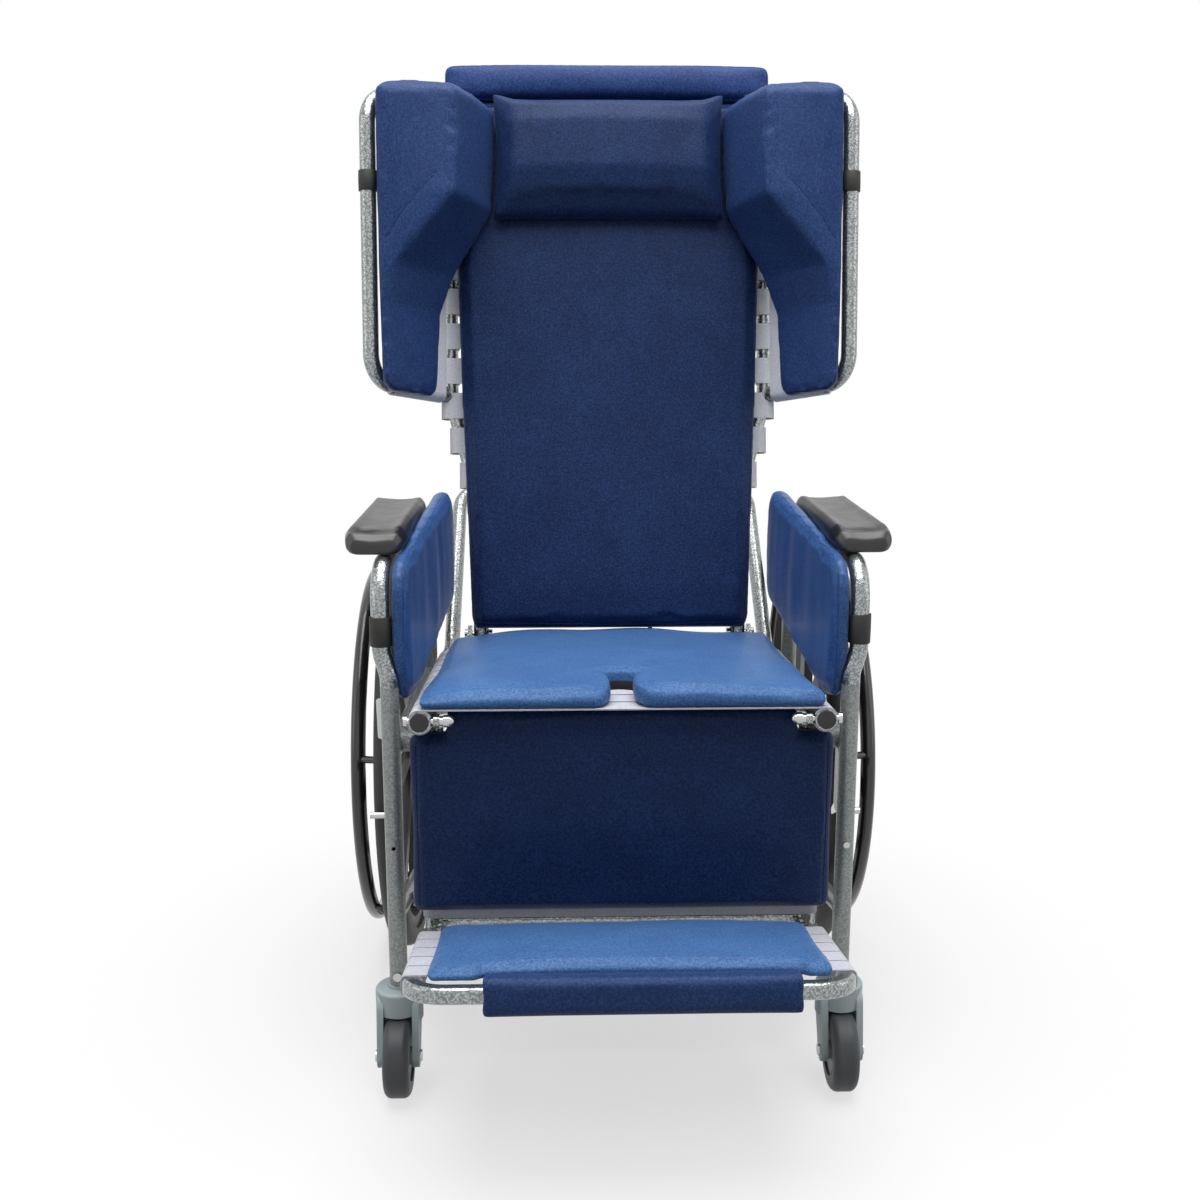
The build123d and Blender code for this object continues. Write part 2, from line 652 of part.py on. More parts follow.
def rear_wheel(name, side):
    """Tyre, spoked wheel and handrim of one rear wheel."""
    x = side * TYRE_X
    bead = WHEEL_R - TYRE_H
    save(
        f"rear_tyre_{name}",
        disc(x - TYRE_W / 2, x + TYRE_W / 2, WHEEL_Y, WHEEL_R, WHEEL_R, bead, TYRE_W * 0.4),
    )
    rim = disc(x - RIM_W / 2, x + RIM_W / 2, WHEEL_Y, WHEEL_R, bead, bead - RIM_DEPTH)
    hub = cross(x - HUB_HALF, x + HUB_HALF, WHEEL_Y, WHEEL_R, HUB_D)
    half = SPOKE_W / 2
    outline = [(0, -half - 4), (bead - RIM_DEPTH / 2, -half + 2), (bead - RIM_DEPTH / 2, half - 2), (0, half + 4)]
    spoke = plate(x - SPOKE_T / 2, x + SPOKE_T / 2, outline)
    spokes = [Location((0, WHEEL_Y, WHEEL_R), (360 / SPOKES * i, 0, 0)) * spoke for i in range(SPOKES)]
    bore = cross(x - 40, x + 40, WHEEL_Y, WHEEL_R, AXLE_D + 2 * FIT)
    save(f"rear_wheel_{name}", fused([hub, rim, *spokes]) - bore)
    ring = Location((side * HANDRIM_X, WHEEL_Y, WHEEL_R), (0, 90, 0)) * Torus(HANDRIM_R, HANDRIM_TUBE / 2)
    near = side * (TYRE_X + RIM_W / 2 + 0.1)
    parts = [ring]
    for i in range(HANDRIM_TABS):
        turn = radians(180 - TAB_ANGLE + 360 / HANDRIM_TABS * i)
        start = bead - RIM_DEPTH * 0.5
        y, z = WHEEL_Y + start * cos(turn), WHEEL_R + start * sin(turn)
        a = (near + side * TAB_D / 4, y, z)
        b = (side * HANDRIM_X, WHEEL_Y + HANDRIM_R * cos(turn), WHEEL_R + HANDRIM_R * sin(turn))
        parts.append(rod(a, b, TAB_D))
        parts.append(cross(near, near + side * TAB_D / 2, y, z, TAB_D + 1))
    save(f"handrim_{name}", fused(parts))


def arm(name, side):
    """Arm tube, moulded arm pad and padded side panel of one arm, lifted out together."""
    seam = POST_TOP + 0.3
    rear_x = side * REAR_POST_X
    x = side * ARM_X
    points = [
        (side * POST_X, POST_Y, seam),
        (side * POST_X, POST_Y, seam + 13),
        (x, POST_Y, seam + 41),
        (x, POST_Y, ARM_Z),
        (x, REAR_POST_Y - 125, ARM_Z),
        (rear_x, REAR_POST_Y, ARM_Z),
        (rear_x, REAR_POST_Y, seam),
    ]
    tube = bent(points, [40, 40, ARM_BEND, 60, ARM_BEND], FRAME_TUBE - 0.2)
    stub_d = FRAME_TUBE - 2 * TUBE_WALL - 2 * SLIDE_FIT
    stubs = [
        rod((side * POST_X, POST_Y, POST_TOP - ARM_STUB), (side * POST_X, POST_Y, seam + 4), stub_d),
        rod((rear_x, REAR_POST_Y, POST_TOP - ARM_STUB), (rear_x, REAR_POST_Y, seam + 4), stub_d),
    ]
    save(f"arm_tube_{name}", fused([tube, *stubs]))
    foot = ARM_Z + FRAME_TUBE / 2 - 0.1
    half = ARM_PAD_W / 2
    length = ARM_PAD_L
    stations = [
        (0, half * 0.68, 0.62),
        (9, half * 0.9, 0.9),
        (34, half, 1),
        (length - 34, half, 1),
        (length - 9, half * 0.9, 0.9),
        (length, half * 0.68, 0.62),
    ]
    top = pad(stations, ARM_PAD_TOP - foot, -2.5, 0.3)
    save(f"arm_pad_{name}", Location((side * ARM_PAD_X, ARM_PAD_FRONT, foot)) * top)
    room = bent(points, [40, 40, ARM_BEND, 60, ARM_BEND], FRAME_TUBE + 2 * SKIN_GAP)
    under = POST_TOP - PANEL_OVERLAP
    post = rod((side * POST_X, POST_Y, under), (side * POST_X, POST_Y, seam), FRAME_TUBE + 2 * SKIN_GAP)
    pad_room = Box(ARM_PAD_W + 2 * SKIN_GAP, length + 2, 60)
    pad_room = Location((side * ARM_PAD_X, ARM_PAD_FRONT + length / 2, foot - SKIN_GAP + 30)) * pad_room
    save(f"side_panel_{name}", side_panel(side) - room - post - pad_room)


def side_panel(side):
    """Padded panel inside the arm; it draws in towards the back, and its foot rises to the rear."""
    span = PANEL_REAR - PANEL_FRONT
    rows = [
        (0, 552, 618, 0.45),
        (6, 528, 644, 0.8),
        (22, 497, 662, 1),
        (60, 489, 670, 1),
        (150, 505, 680, 1),
        (250, 524, 690, 1),
        (span - 22, 541, 700, 1),
        (span - 5, 549, 696, 0.85),
        (span, 556, 688, 0.5),
    ]
    faces = []
    for along, low, high, share in rows:
        part = along / span
        out = PANEL_OUT_FRONT + (PANEL_OUT_REAR - PANEL_OUT_FRONT) * part
        thick = PANEL_T + (PANEL_T_REAR - PANEL_T) * part
        middle = out - thick / 2
        half = thick * share / 2
        crown = 1.6 * share
        edge = half * 0.8
        outer = half - crown
        corners = [
            (middle - outer, low + edge),
            (middle + outer, low + edge),
            (middle + outer, high - edge),
            (middle - outer, high - edge),
        ]
        plane = Plane(origin=(0, PANEL_FRONT + along, 0), x_dir=(1, 0, 0), z_dir=(0, -1, 0))
        face = ring_face(plane, corners, [edge, crown, edge, crown])
        if side < 0:
            face = face.mirror(Plane.YZ)
        faces.append(face)
    return loft(faces, ruled=True)


# ---- seat -------------------------------------------------------------------------------------
def wrap_strap(half, tube, width, slant=0.0):
    """A strap across two round tubes: a turn round each tube and a flat run over their tops.

    Where the tubes draw together by slant along the strap's width, its turns are drawn out to clear them.
    """
    inside = tube / 2 + STRAP_SLACK
    face = Pos(0, inside + STRAP_T / 2) * Rectangle(2 * half, STRAP_T)
    bores = []
    for x in (-half, half):
        outside = inside + STRAP_T
        if slant > 0.1:
            face = face + Pos(x, 0) * RectangleRounded(2 * (slant + outside), 2 * outside, outside - 0.05)
            bores.append(Pos(x, 0) * RectangleRounded(2 * (slant + inside), 2 * inside, inside - 0.05))
        else:
            face = face + Pos(x, 0) * Circle(outside)
            bores.append(Pos(x, 0) * Circle(inside))
    for bore in bores:
        face = face - bore
    return extrude(face, amount=width)


def seat():
    """Seat frame, hoop behind it, plugs, bolts, straps and cushion."""
    place = seat_place()
    pieces = []
    for _, side in SIDES:
        x = side * SEAT_X
        pieces.append(place * pipe((x, 0, 0), (x, SEAT_TUBE_L, 0), SEAT_TUBE, TUBE_WALL))
        lug_y, lug_z = seat_point(TILT_Y - SEAT_FRONT_Y)
        lug = hull_plate(
            x - side * LUG_T / 2,
            x + side * LUG_T / 2,
            [(TILT_Y, TILT_Z, TILT_BOSS_D / 2), (lug_y, lug_z - SEAT_TUBE / 2 + 3, 10)],
        )
        pieces.append(lug)
        pieces.append(recline_bracket(side))
    inside = SEAT_X - SEAT_TUBE / 2 + 1
    crossings = (SEAT_CROSS_FRONT, SEAT_CROSS_MIDDLE, SEAT_CROSS_REAR)
    for y in crossings:
        pieces.append(place * cross(-inside, inside, y, 0, CROSS_TUBE))
    root = seat_point(SEAT_CROSS_MIDDLE)
    pieces.append(spring_lug(TILT_SPRING_X, TILT_SPRING_Y, TILT_SPRING_Z, *root))
    pieces.append(spring_lug(RECLINE_SPRING_X, RECLINE_SPRING_Y, RECLINE_SPRING_Z, *root))
    pivot_y, pivot_z = back_point(BACK_TUBE_DEPTH, BACK_PIVOT_L)
    bores = []
    for _, side in SIDES:
        bores.append(cross(side * 150, side * 260, TILT_Y, TILT_Z, TILT_BOLT_D + 2 * FIT))
        bores.append(cross(side * 150, side * 260, pivot_y, pivot_z, RECLINE_BOLT_D + 2 * FIT))
        bores.append(cross(side * 150, side * 260, LEG_PIVOT_Y, SEAT_FRONT_Z, LEG_BOLT_D + 2 * FIT))
    frame = fused(pieces)
    for bore in bores:
        frame = frame - bore
    save("seat_frame", frame)
    start = seat_point(SEAT_TUBE_L + 0.1)
    bend = seat_point(SEAT_TUBE_L + 32)
    points = [
        (-SEAT_X, *start),
        (-SEAT_X, *bend),
        (-SEAT_X, HOOP_Y, HOOP_Z),
        (SEAT_X, HOOP_Y, HOOP_Z),
        (SEAT_X, *bend),
        (SEAT_X, *start),
    ]
    save("rear_hoop", bent(points, [60, 46, 46, 60], HOOP_TUBE))
    depth = SEAT_TUBE / 2 - TUBE_WALL
    plugs = []
    for _, side in SIDES:
        plug = rod((side * SEAT_X, -2.5, 0), (side * SEAT_X, 1.5, 0), 2 * depth - 0.2)
        plugs.append(place * plug)
    save("tube_plugs", plugs)
    straps = []
    strap = wrap_strap(SEAT_X, SEAT_TUBE, STRAP_W)
    rooms = [place * cross(-SEAT_X, SEAT_X, y, 0, CROSS_TUBE + 2 * SKIN_GAP) for y in crossings]
    rooms.append(cross(-260, 260, LEG_PIVOT_Y, SEAT_FRONT_Z, LEG_EYE_D + 1))
    for _, side in SIDES:
        x = side * SEAT_X
        low = TILT_BOSS_D / 2 + SKIN_GAP
        lug_room = Box(LUG_T + 2 * SKIN_GAP, TILT_BOSS_D + 4, SEAT_TUBE)
        rooms.append(Location((x, TILT_Y, TILT_Z + low + SEAT_TUBE / 2)) * lug_room)
    for i in range(SEAT_STRAPS):
        near = 1 + SEAT_STRAP_PITCH * i
        band = place * (Location((0, near + STRAP_W, 0), (90, 0, 0)) * strap)
        for room in rooms:
            band = band - room
        straps.append(band)
    save("seat_straps", straps)
    save("seat_cushion", seat_cushion())
    save("pivot_bolts", [bolt for _, side in SIDES for bolt in pivot_bolts(side, pivot_y, pivot_z)])


def seat_cushion():
    """Crowned pad with drawn-in sides and a keyhole notch open to the front."""
    high = SEAT_TUBE / 2 + STRAP_T + 0.1 + SKIN_GAP
    front, rear, length = SEAT_CUSHION_FRONT, SEAT_CUSHION_REAR, SEAT_CUSHION_L
    stations = [
        (0, front - 4, 0.55),
        (9, front, 0.92),
        (45, front, 1),
        (length * 0.5, (front + rear) / 2 - 2.5, 1),
        (length - 45, rear, 1),
        (length - 9, rear, 0.92),
        (length, rear - 4, 0.55),
    ]
    body = pad(stations, SEAT_CUSHION_T, SEAT_CROWN)
    neck = [
        (-NOTCH_FLARE, -2),
        (NOTCH_FLARE, -2),
        (NOTCH_NECK, 26),
        (NOTCH_NECK, NOTCH_Y),
        (-NOTCH_NECK, NOTCH_Y),
        (-NOTCH_NECK, 26),
    ]
    cut = make_face(Polyline(*neck, close=True)) + Pos(0, NOTCH_Y) * Circle(NOTCH_R)
    notch = extrude(cut, amount=80, both=True)
    cushion = seat_place() * (Location((0, 2, high)) * (body - notch))
    for _, side in SIDES:
        cushion = cushion - recline_bracket(side, 1.0)
    return cushion


def recline_bracket(side, room=0.0):
    """Plate that stands up from the rear cross tube to the recline bolt; with room, the space it needs."""
    root_y, root_z = seat_point(SEAT_CROSS_REAR)
    pivot_y, pivot_z = back_point(BACK_TUBE_DEPTH, BACK_PIVOT_L)
    inner = side * (BACK_WAIST_X + BACK_TUBE / 2 + 2 - room)
    outer = side * (BACK_WAIST_X + BACK_TUBE / 2 + 2 + LUG_T + room)
    return hull_plate(inner, outer, [(pivot_y, pivot_z, 12 + room), (root_y, root_z, 12 + room)])


def pivot_bolts(side, recline_y, recline_z):
    """The bolts of one side: leg rest pivot with its acorn nut, tilt pivot and recline pivot."""
    out = side * (SEAT_X + SEAT_TUBE / 2 + STRAP_T + 0.3)
    inner = side * (LEG_LUG_X - LEG_LUG_T / 2 - 0.2)
    dome = Location((inner - side * 11, LEG_PIVOT_Y, SEAT_FRONT_Z)) * Sphere(6.4)
    leg = fused(
        [
            cross(inner - side * 12, out + side * 4, LEG_PIVOT_Y, SEAT_FRONT_Z, LEG_BOLT_D),
            cross(out, out + side * 4, LEG_PIVOT_Y, SEAT_FRONT_Z, LEG_BOLT_D + 5),
            cross(inner, inner - side * 4.5, LEG_PIVOT_Y, SEAT_FRONT_Z, LEG_EYE_D - 3),
            cross(inner - side * 4.5, inner - side * 11, LEG_PIVOT_Y, SEAT_FRONT_Z, LEG_EYE_D),
            dome,
        ]
    )
    lug_in = side * (SEAT_X - LUG_T / 2)
    tilt_end = side * rail_x(TILT_Y)
    tilt = cross(lug_in - side * 5, tilt_end, TILT_Y, TILT_Z, TILT_BOLT_D)
    tilt = tilt + cross(lug_in, lug_in - side * 6, TILT_Y, TILT_Z, TILT_BOLT_D + 7)
    tube_in = side * (BACK_WAIST_X - BACK_TUBE / 2 - 0.3)
    bracket_out = side * (BACK_WAIST_X + BACK_TUBE / 2 + 2 + LUG_T)
    recline = fused(
        [
            cross(tube_in - side * 4, bracket_out + side * 4, recline_y, recline_z, RECLINE_BOLT_D),
            cross(tube_in - side * 5, tube_in, recline_y, recline_z, RECLINE_BOLT_D + 5),
            cross(bracket_out, bracket_out + side * 5, recline_y, recline_z, RECLINE_BOLT_D + 5),
        ]
    )
    return [leg, tilt, recline]


# ---- back -------------------------------------------------------------------------------------
def back_half(up):
    """Middle of the back's side tube at a height up the back."""
    share = min(max((up - WAIST_LOW) / (WAIST_HIGH - WAIST_LOW), 0), 1)
    return BACK_WAIST_X + (BACK_X - BACK_WAIST_X) * share


def wing_run(side, up, front):
    """Ends of a wing tube's run, from beside the back's tube out to the wing's corner."""
    dx, dy = WING_X - BACK_X, -front - BACK_TUBE_DEPTH
    length = hypot(dx, dy)
    step = BACK_TUBE / 2 + 0.2
    near = (side * (BACK_X + dx / length * step), BACK_TUBE_DEPTH + dy / length * step, up)
    return near, (side * WING_X, -front, up)


def back():
    """Back frame, straps, cushions, wings and push grips, made upright and then leaned."""
    place = back_place()
    depth = BACK_TUBE_DEPTH
    top = BACK_L - BACK_TUBE / 2
    points = [
        (-BACK_WAIST_X, depth, BACK_PIVOT_L - 11),
        (-BACK_WAIST_X, depth, WAIST_LOW),
        (-BACK_X, depth, WAIST_HIGH),
        (-BACK_X, depth, top),
        (BACK_X, depth, top),
        (BACK_X, depth, WAIST_HIGH),
        (BACK_WAIST_X, depth, WAIST_LOW),
        (BACK_WAIST_X, depth, BACK_PIVOT_L - 11),
    ]
    hoop = bent(points, [120, 120, 36, 36, 120, 120], BACK_TUBE)
    first_gap = BACK_STRAP_FIRST + BACK_STRAP_PITCH / 2
    low_x = back_half(first_gap)
    high_gap = first_gap + 8 * BACK_STRAP_PITCH
    low_bar = cross(-low_x, low_x, depth, first_gap, BACK_CROSS_D)
    high_bar = cross(-BACK_X, BACK_X, depth, high_gap, BACK_CROSS_D)
    stub_end = depth + GRIP_OFFSET + GRIP_L
    stubs = [
        rod((side * BACK_X, depth, GRIP_HEIGHT), (side * BACK_X, stub_end, GRIP_HEIGHT), STUB_D)
        for _, side in SIDES
    ]
    hangers = [lever_hanger(side) for _, side in SIDES]
    frame = place * fused([hoop, low_bar, high_bar, *stubs, *hangers])
    pivot_y, pivot_z = back_point(depth, BACK_PIVOT_L)
    frame = frame + spring_lug(
        RECLINE_SPRING_X, RECLINE_PIN_Y, RECLINE_PIN_Z, *back_point(depth, first_gap)
    )
    bore = cross(-300, 300, pivot_y, pivot_z, RECLINE_BOLT_D + 2 * FIT)
    save("back_frame", frame - bore)

    cuts = []
    for _, side in SIDES:
        for up, front in ((WING_TOP, WING_FRONT_TOP), (WING_FOOT, WING_FRONT_FOOT)):
            near, far = wing_run(side, up, front)
            cuts.append(rod((side * BACK_X, depth, up), far, BACK_TUBE + 1))
        rear = (side * BACK_X, depth + 60, GRIP_HEIGHT)
        cuts.append(rod((side * BACK_X, depth, GRIP_HEIGHT), rear, BACK_TUBE + 1))
    straps = []
    for i in range(BACK_STRAPS):
        up = BACK_STRAP_FIRST + BACK_STRAP_PITCH * i
        low, high = up - BACK_STRAP_H / 2, up + BACK_STRAP_H / 2
        slant = abs(back_half(high) - back_half(low)) / 2
        if slant:
            slant += WAIST_ROOM
        band = wrap_strap((back_half(low) + back_half(high)) / 2, BACK_TUBE, BACK_STRAP_H, slant)
        band = Location((0, depth, low)) * band.mirror(Plane.XZ)
        for cut in cuts:
            band = band - cut
        straps.append(place * band)
    save("back_straps", straps)

    low, high = BACK_CUSHION_LOW, BACK_CUSHION_HIGH
    lean = Location((0, BACK_CUSHION_T, 0), (90, 0, 0))
    stations = [
        (-17, low - 5, 0.6),
        (-8, low - 2, 0.92),
        (40, low, 1),
        (298, (low + high) / 2 + 2, 1),
        (470, high, 1),
        (TOP_PAD_FOOT - 46, high + 1, 1),
        (TOP_PAD_FOOT - 9, high, 0.92),
        (TOP_PAD_FOOT - 1, high - 4, 0.6),
    ]
    save("back_cushion", place * (lean * pad(stations, BACK_CUSHION_T, BACK_CROWN)))
    stations = [
        (TOP_PAD_FOOT, TOP_PAD_X - 4, 0.6),
        (TOP_PAD_FOOT + 8, TOP_PAD_X, 0.95),
        (BACK_L + TOP_PAD_RISE - 8, TOP_PAD_X, 0.95),
        (BACK_L + TOP_PAD_RISE, TOP_PAD_X - 4, 0.6),
    ]
    save("top_pad", place * (lean * pad(stations, BACK_CUSHION_T, BACK_CROWN)))
    stations = [
        (PILLOW_FOOT, PILLOW_X + 3, 0.45),
        (PILLOW_FOOT + 10, PILLOW_X, 0.8),
        (PILLOW_FOOT + 45, PILLOW_X - 2, 1),
        (PILLOW_TOP - 45, PILLOW_X - 2, 1),
        (PILLOW_TOP - 10, PILLOW_X - 1, 0.8),
        (PILLOW_TOP, PILLOW_X - 1, 0.45),
    ]
    front = Location((0, -BACK_CROWN - SKIN_GAP, 0), (90, 0, 0))
    save("head_pillow", place * (front * pad(stations, PILLOW_T, PILLOW_CROWN)))

    frames, bands = [], []
    for name, side in SIDES:
        near_top, corner_top = wing_run(side, WING_TOP, WING_FRONT_TOP)
        near_foot, corner_foot = wing_run(side, WING_FOOT, WING_FRONT_FOOT)
        wing = bent([near_top, corner_top, corner_foot, near_foot], [WING_BEND, WING_BEND], BACK_TUBE)
        frames.append(place * wing)
        for i in range(WING_STRAPS):
            bands.append(place * wing_strap(side, WING_STRAP_FIRST + WING_STRAP_STEP * i))
        save(f"wing_cushion_{name}", place * wing_cushion(side))
    save("wing_frames", frames)
    save("wing_straps", bands)
    grips = []
    for _, side in SIDES:
        start = depth + GRIP_OFFSET
        tube = (side * BACK_X, start, GRIP_HEIGHT)
        sleeve = rod(tube, (side * BACK_X, start + GRIP_L + 5, GRIP_HEIGHT), GRIP_D)
        sleeve = fillet(sleeve.edges().filter_by(GeomType.CIRCLE), 5)
        sleeve = sleeve - rod(tube, (side * BACK_X, start + GRIP_L + 0.1, GRIP_HEIGHT), STUB_D + 0.04)
        grips.append(place * sleeve)
    save("push_grips", grips)
    for name, side in (("recline_lever", -1), ("tilt_lever", 1)):
        save(name, place * release_lever(side))


def lever_hanger(side):
    """Lug under a push grip's tube with the release lever's pin."""
    x = side * BACK_X
    y, z = LEVER_PIVOT_Y, GRIP_HEIGHT - LEVER_DROP
    lug = hull_plate(x - 3, x + 3, [(y, GRIP_HEIGHT - 6, 7), (y, z, 6)])
    pin = cross(x, x - side * (3 + 0.5 + LEVER_T + 2), y, z, LEVER_PIN_D)
    return lug + pin


def release_lever(side):
    """Trigger lever under a push grip; squeezing it towards the grip lets the gas spring move."""
    near = side * (BACK_X - 3.5)
    far = near - side * LEVER_T
    z = GRIP_HEIGHT - LEVER_DROP
    arm_part = hull_plate(near, far, [(LEVER_PIVOT_Y, z, 7), (LEVER_PIVOT_Y + 40, z - 8, 4.5)])
    tip = hull_plate(near, far, [(LEVER_PIVOT_Y + 40, z - 8, 4.5), (LEVER_PIVOT_Y + 92, z - 6, 4.5)])
    bore = cross(side * 150, side * 300, LEVER_PIVOT_Y, z, LEVER_PIN_D + 2 * FIT)
    return arm_part + tip - bore


def wing_strap(side, share):
    """One upright strap of a wing, round its top and foot runs."""
    sections, rings = [], []
    for up, front in ((WING_FOOT, WING_FRONT_FOOT), (WING_TOP, WING_FRONT_TOP)):
        near, far = [Vector(*end) for end in wing_run(side, up, front)]
        along = (far - near).normalized()
        inward = Vector(along.Y, -along.X, 0) * side
        middle = near + (far - near) * share
        reach = along * (WING_STRAP_W / 2)
        wall = STRAP_T + 0.15
        rings.append(pipe(middle - reach, middle + reach, BACK_TUBE + 1 + 2 * wall, wall))
        origin = middle + inward * (BACK_TUBE / 2 + 0.5 + wall / 2)
        sections.append(Plane(origin=origin, x_dir=along, z_dir=(0, 0, 1)) * Rectangle(WING_STRAP_W, STRAP_T))
    return fused([loft(sections, ruled=True), *rings])


def wing_cushion(side):
    """Wedge-shaped wing pad: a front face, a bevel that turns in to the pillow and a back along the straps."""
    rows = [
        # up, ridge x, ridge front, inner x, inner front, outer x
        (WING_PAD_FOOT, 294, 92, 249, 34, 300),
        (WING_PAD_FOOT + 12, 301, 99, 243, 26, 310),
        (427, 305, 105, 238, 20, 312),
        (478, 292, 112, 220, 16, 313),
        (530, 248, 118, 188, 14, 313),
        (572, 212, 121, 165, 13, 314),
        (640, 210, 122, 162, 13, 314),
        (WING_PAD_TOP - 14, 210, 122, 162, 13, 314),
        (WING_PAD_TOP, 216, 112, 172, 24, 302),
    ]
    faces = []
    for i, (up, ridge_x, ridge_y, inner_x, inner_y, outer_x) in enumerate(rows):
        share = (up - WING_FOOT) / (WING_TOP - WING_FOOT)
        tube_y = WING_FRONT_FOOT + (WING_FRONT_TOP - WING_FRONT_FOOT) * share
        end = 5 if i in (0, len(rows) - 1) else 0
        run_x, run_y = WING_X - BACK_X, -tube_y - BACK_TUBE_DEPTH
        room = (BACK_TUBE / 2 + STRAP_T + 0.5 + SKIN_GAP + end + 0.4) * hypot(run_x, run_y) / run_x

        def behind(x):
            """Depth, on the wing's straps, of a point x across the chair."""
            return BACK_TUBE_DEPTH + run_y * (x - BACK_X) / run_x - room

        back_x = max(inner_x + 4, 222) + end
        corners = [
            (outer_x, behind(outer_x)),
            (outer_x - 1, behind(outer_x) - 18 + end),
            (ridge_x, -ridge_y),
            (inner_x, -inner_y),
            (back_x, -9 - end),
            (max(back_x + 10, 237), behind(max(back_x + 10, 237))),
        ]
        flipped = [(side * x, y) for x, y in corners]
        bulges = [1.5, 3, 3, 1.5, 0, 0]
        if side < 0:
            bulges = [-bulge for bulge in bulges]
        bulges = [-bulge for bulge in bulges]
        plane = Plane(origin=(0, 0, up), x_dir=(1, 0, 0), z_dir=(0, 0, 1))
        faces.append(ring_face(plane, flipped, bulges))
    return loft(faces, ruled=True)


# ---- leg rest and foot board ----------------------------------------------------------------------
def leg_rest():
    """Frame, straps and calf pad that hang from the seat's front bolts."""
    pieces = []
    for _, side in SIDES:
        x = side * LEG_TUBE_X
        pieces.append(rod((x, LEG_TUBE_Y, LEG_TUBE_FOOT), (x, LEG_TUBE_Y, LEG_TUBE_TOP), LEG_TUBE))
        inner = side * (LEG_LUG_X - LEG_LUG_T / 2)
        outer = side * (LEG_LUG_X + LEG_LUG_T / 2)
        eye = (LEG_PIVOT_Y, SEAT_FRONT_Z, LEG_EYE_D / 2)
        elbow = (LEG_TUBE_Y, LEG_TUBE_TOP + 12, 7)
        pieces.append(hull_plate(inner, outer, [eye, elbow]))
        pieces.append(hull_plate(inner, outer, [elbow, (LEG_TUBE_Y, LEG_TUBE_TOP - 10, 8.5)]))
        pieces.append(cross(inner, x, LEG_TUBE_Y, LEG_TUBE_TOP - 10, 16))
        knuckle = (FOOT_PIVOT_Y, FOOT_PIVOT_Z, 9)
        pieces.append(hull_plate(inner, outer, [knuckle, (LEG_TUBE_Y, FOOT_PIVOT_Z, 9)]))
        pieces.append(cross(inner, x, LEG_TUBE_Y, FOOT_PIVOT_Z, 16))
        pieces.append(cross(inner, side * (FOOT_X + FOOT_BAR_W / 2 + 3), FOOT_PIVOT_Y, FOOT_PIVOT_Z, FOOT_PIN_D))
    for z in (FOOT_PIVOT_Z + 6, LEG_TUBE_TOP - 10):
        pieces.append(cross(-LEG_TUBE_X, LEG_TUBE_X, LEG_TUBE_Y + 2, z, LEG_CROSS_D))
    frame = fused(pieces)
    frame = frame - cross(-260, 260, LEG_PIVOT_Y, SEAT_FRONT_Z, LEG_BOLT_D + 2 * FIT)
    save("legrest_frame", frame)
    straps = []
    for i in range(LEG_STRAPS):
        low = LEG_STRAP_FIRST + LEG_STRAP_PITCH * i
        band = wrap_strap(LEG_TUBE_X, LEG_TUBE, LEG_STRAP_H)
        straps.append(Location((0, LEG_TUBE_Y, low)) * band.mirror(Plane.XZ))
    save("legrest_straps", straps)
    save("calf_pad", calf_pad())


def calf_pad():
    """Nearly flat pad: full width below the seat tubes, narrower between the leg rest's bolts."""
    thick = LEG_TUBE_Y - LEG_TUBE / 2 - STRAP_T - 0.1 - SKIN_GAP - CALF_FRONT
    stations = [
        (CALF_FOOT, CALF_X - 3, 0.6),
        (CALF_FOOT + 8, CALF_X, 0.94),
        ((CALF_FOOT + CALF_SHOULDER) / 2, CALF_X - 1.5, 1),
        (CALF_SHOULDER - 8, CALF_X, 0.94),
        (CALF_SHOULDER, CALF_X - 3, 0.6),
    ]
    lean = Location((0, CALF_FRONT + thick, 0), (90, 0, 0))
    lower = lean * pad(stations, thick, CALF_CROWN, 0.3)
    stations = [
        (CALF_SHOULDER - 60, CALF_NECK_X - 1, 0.9),
        (CALF_SHOULDER - 30, CALF_NECK_X, 0.96),
        (CALF_TOP - 6, CALF_NECK_X, 0.94),
        (CALF_TOP, CALF_NECK_X - 3, 0.6),
    ]
    return lower + lean * pad(stations, thick, CALF_CROWN, 0.3)


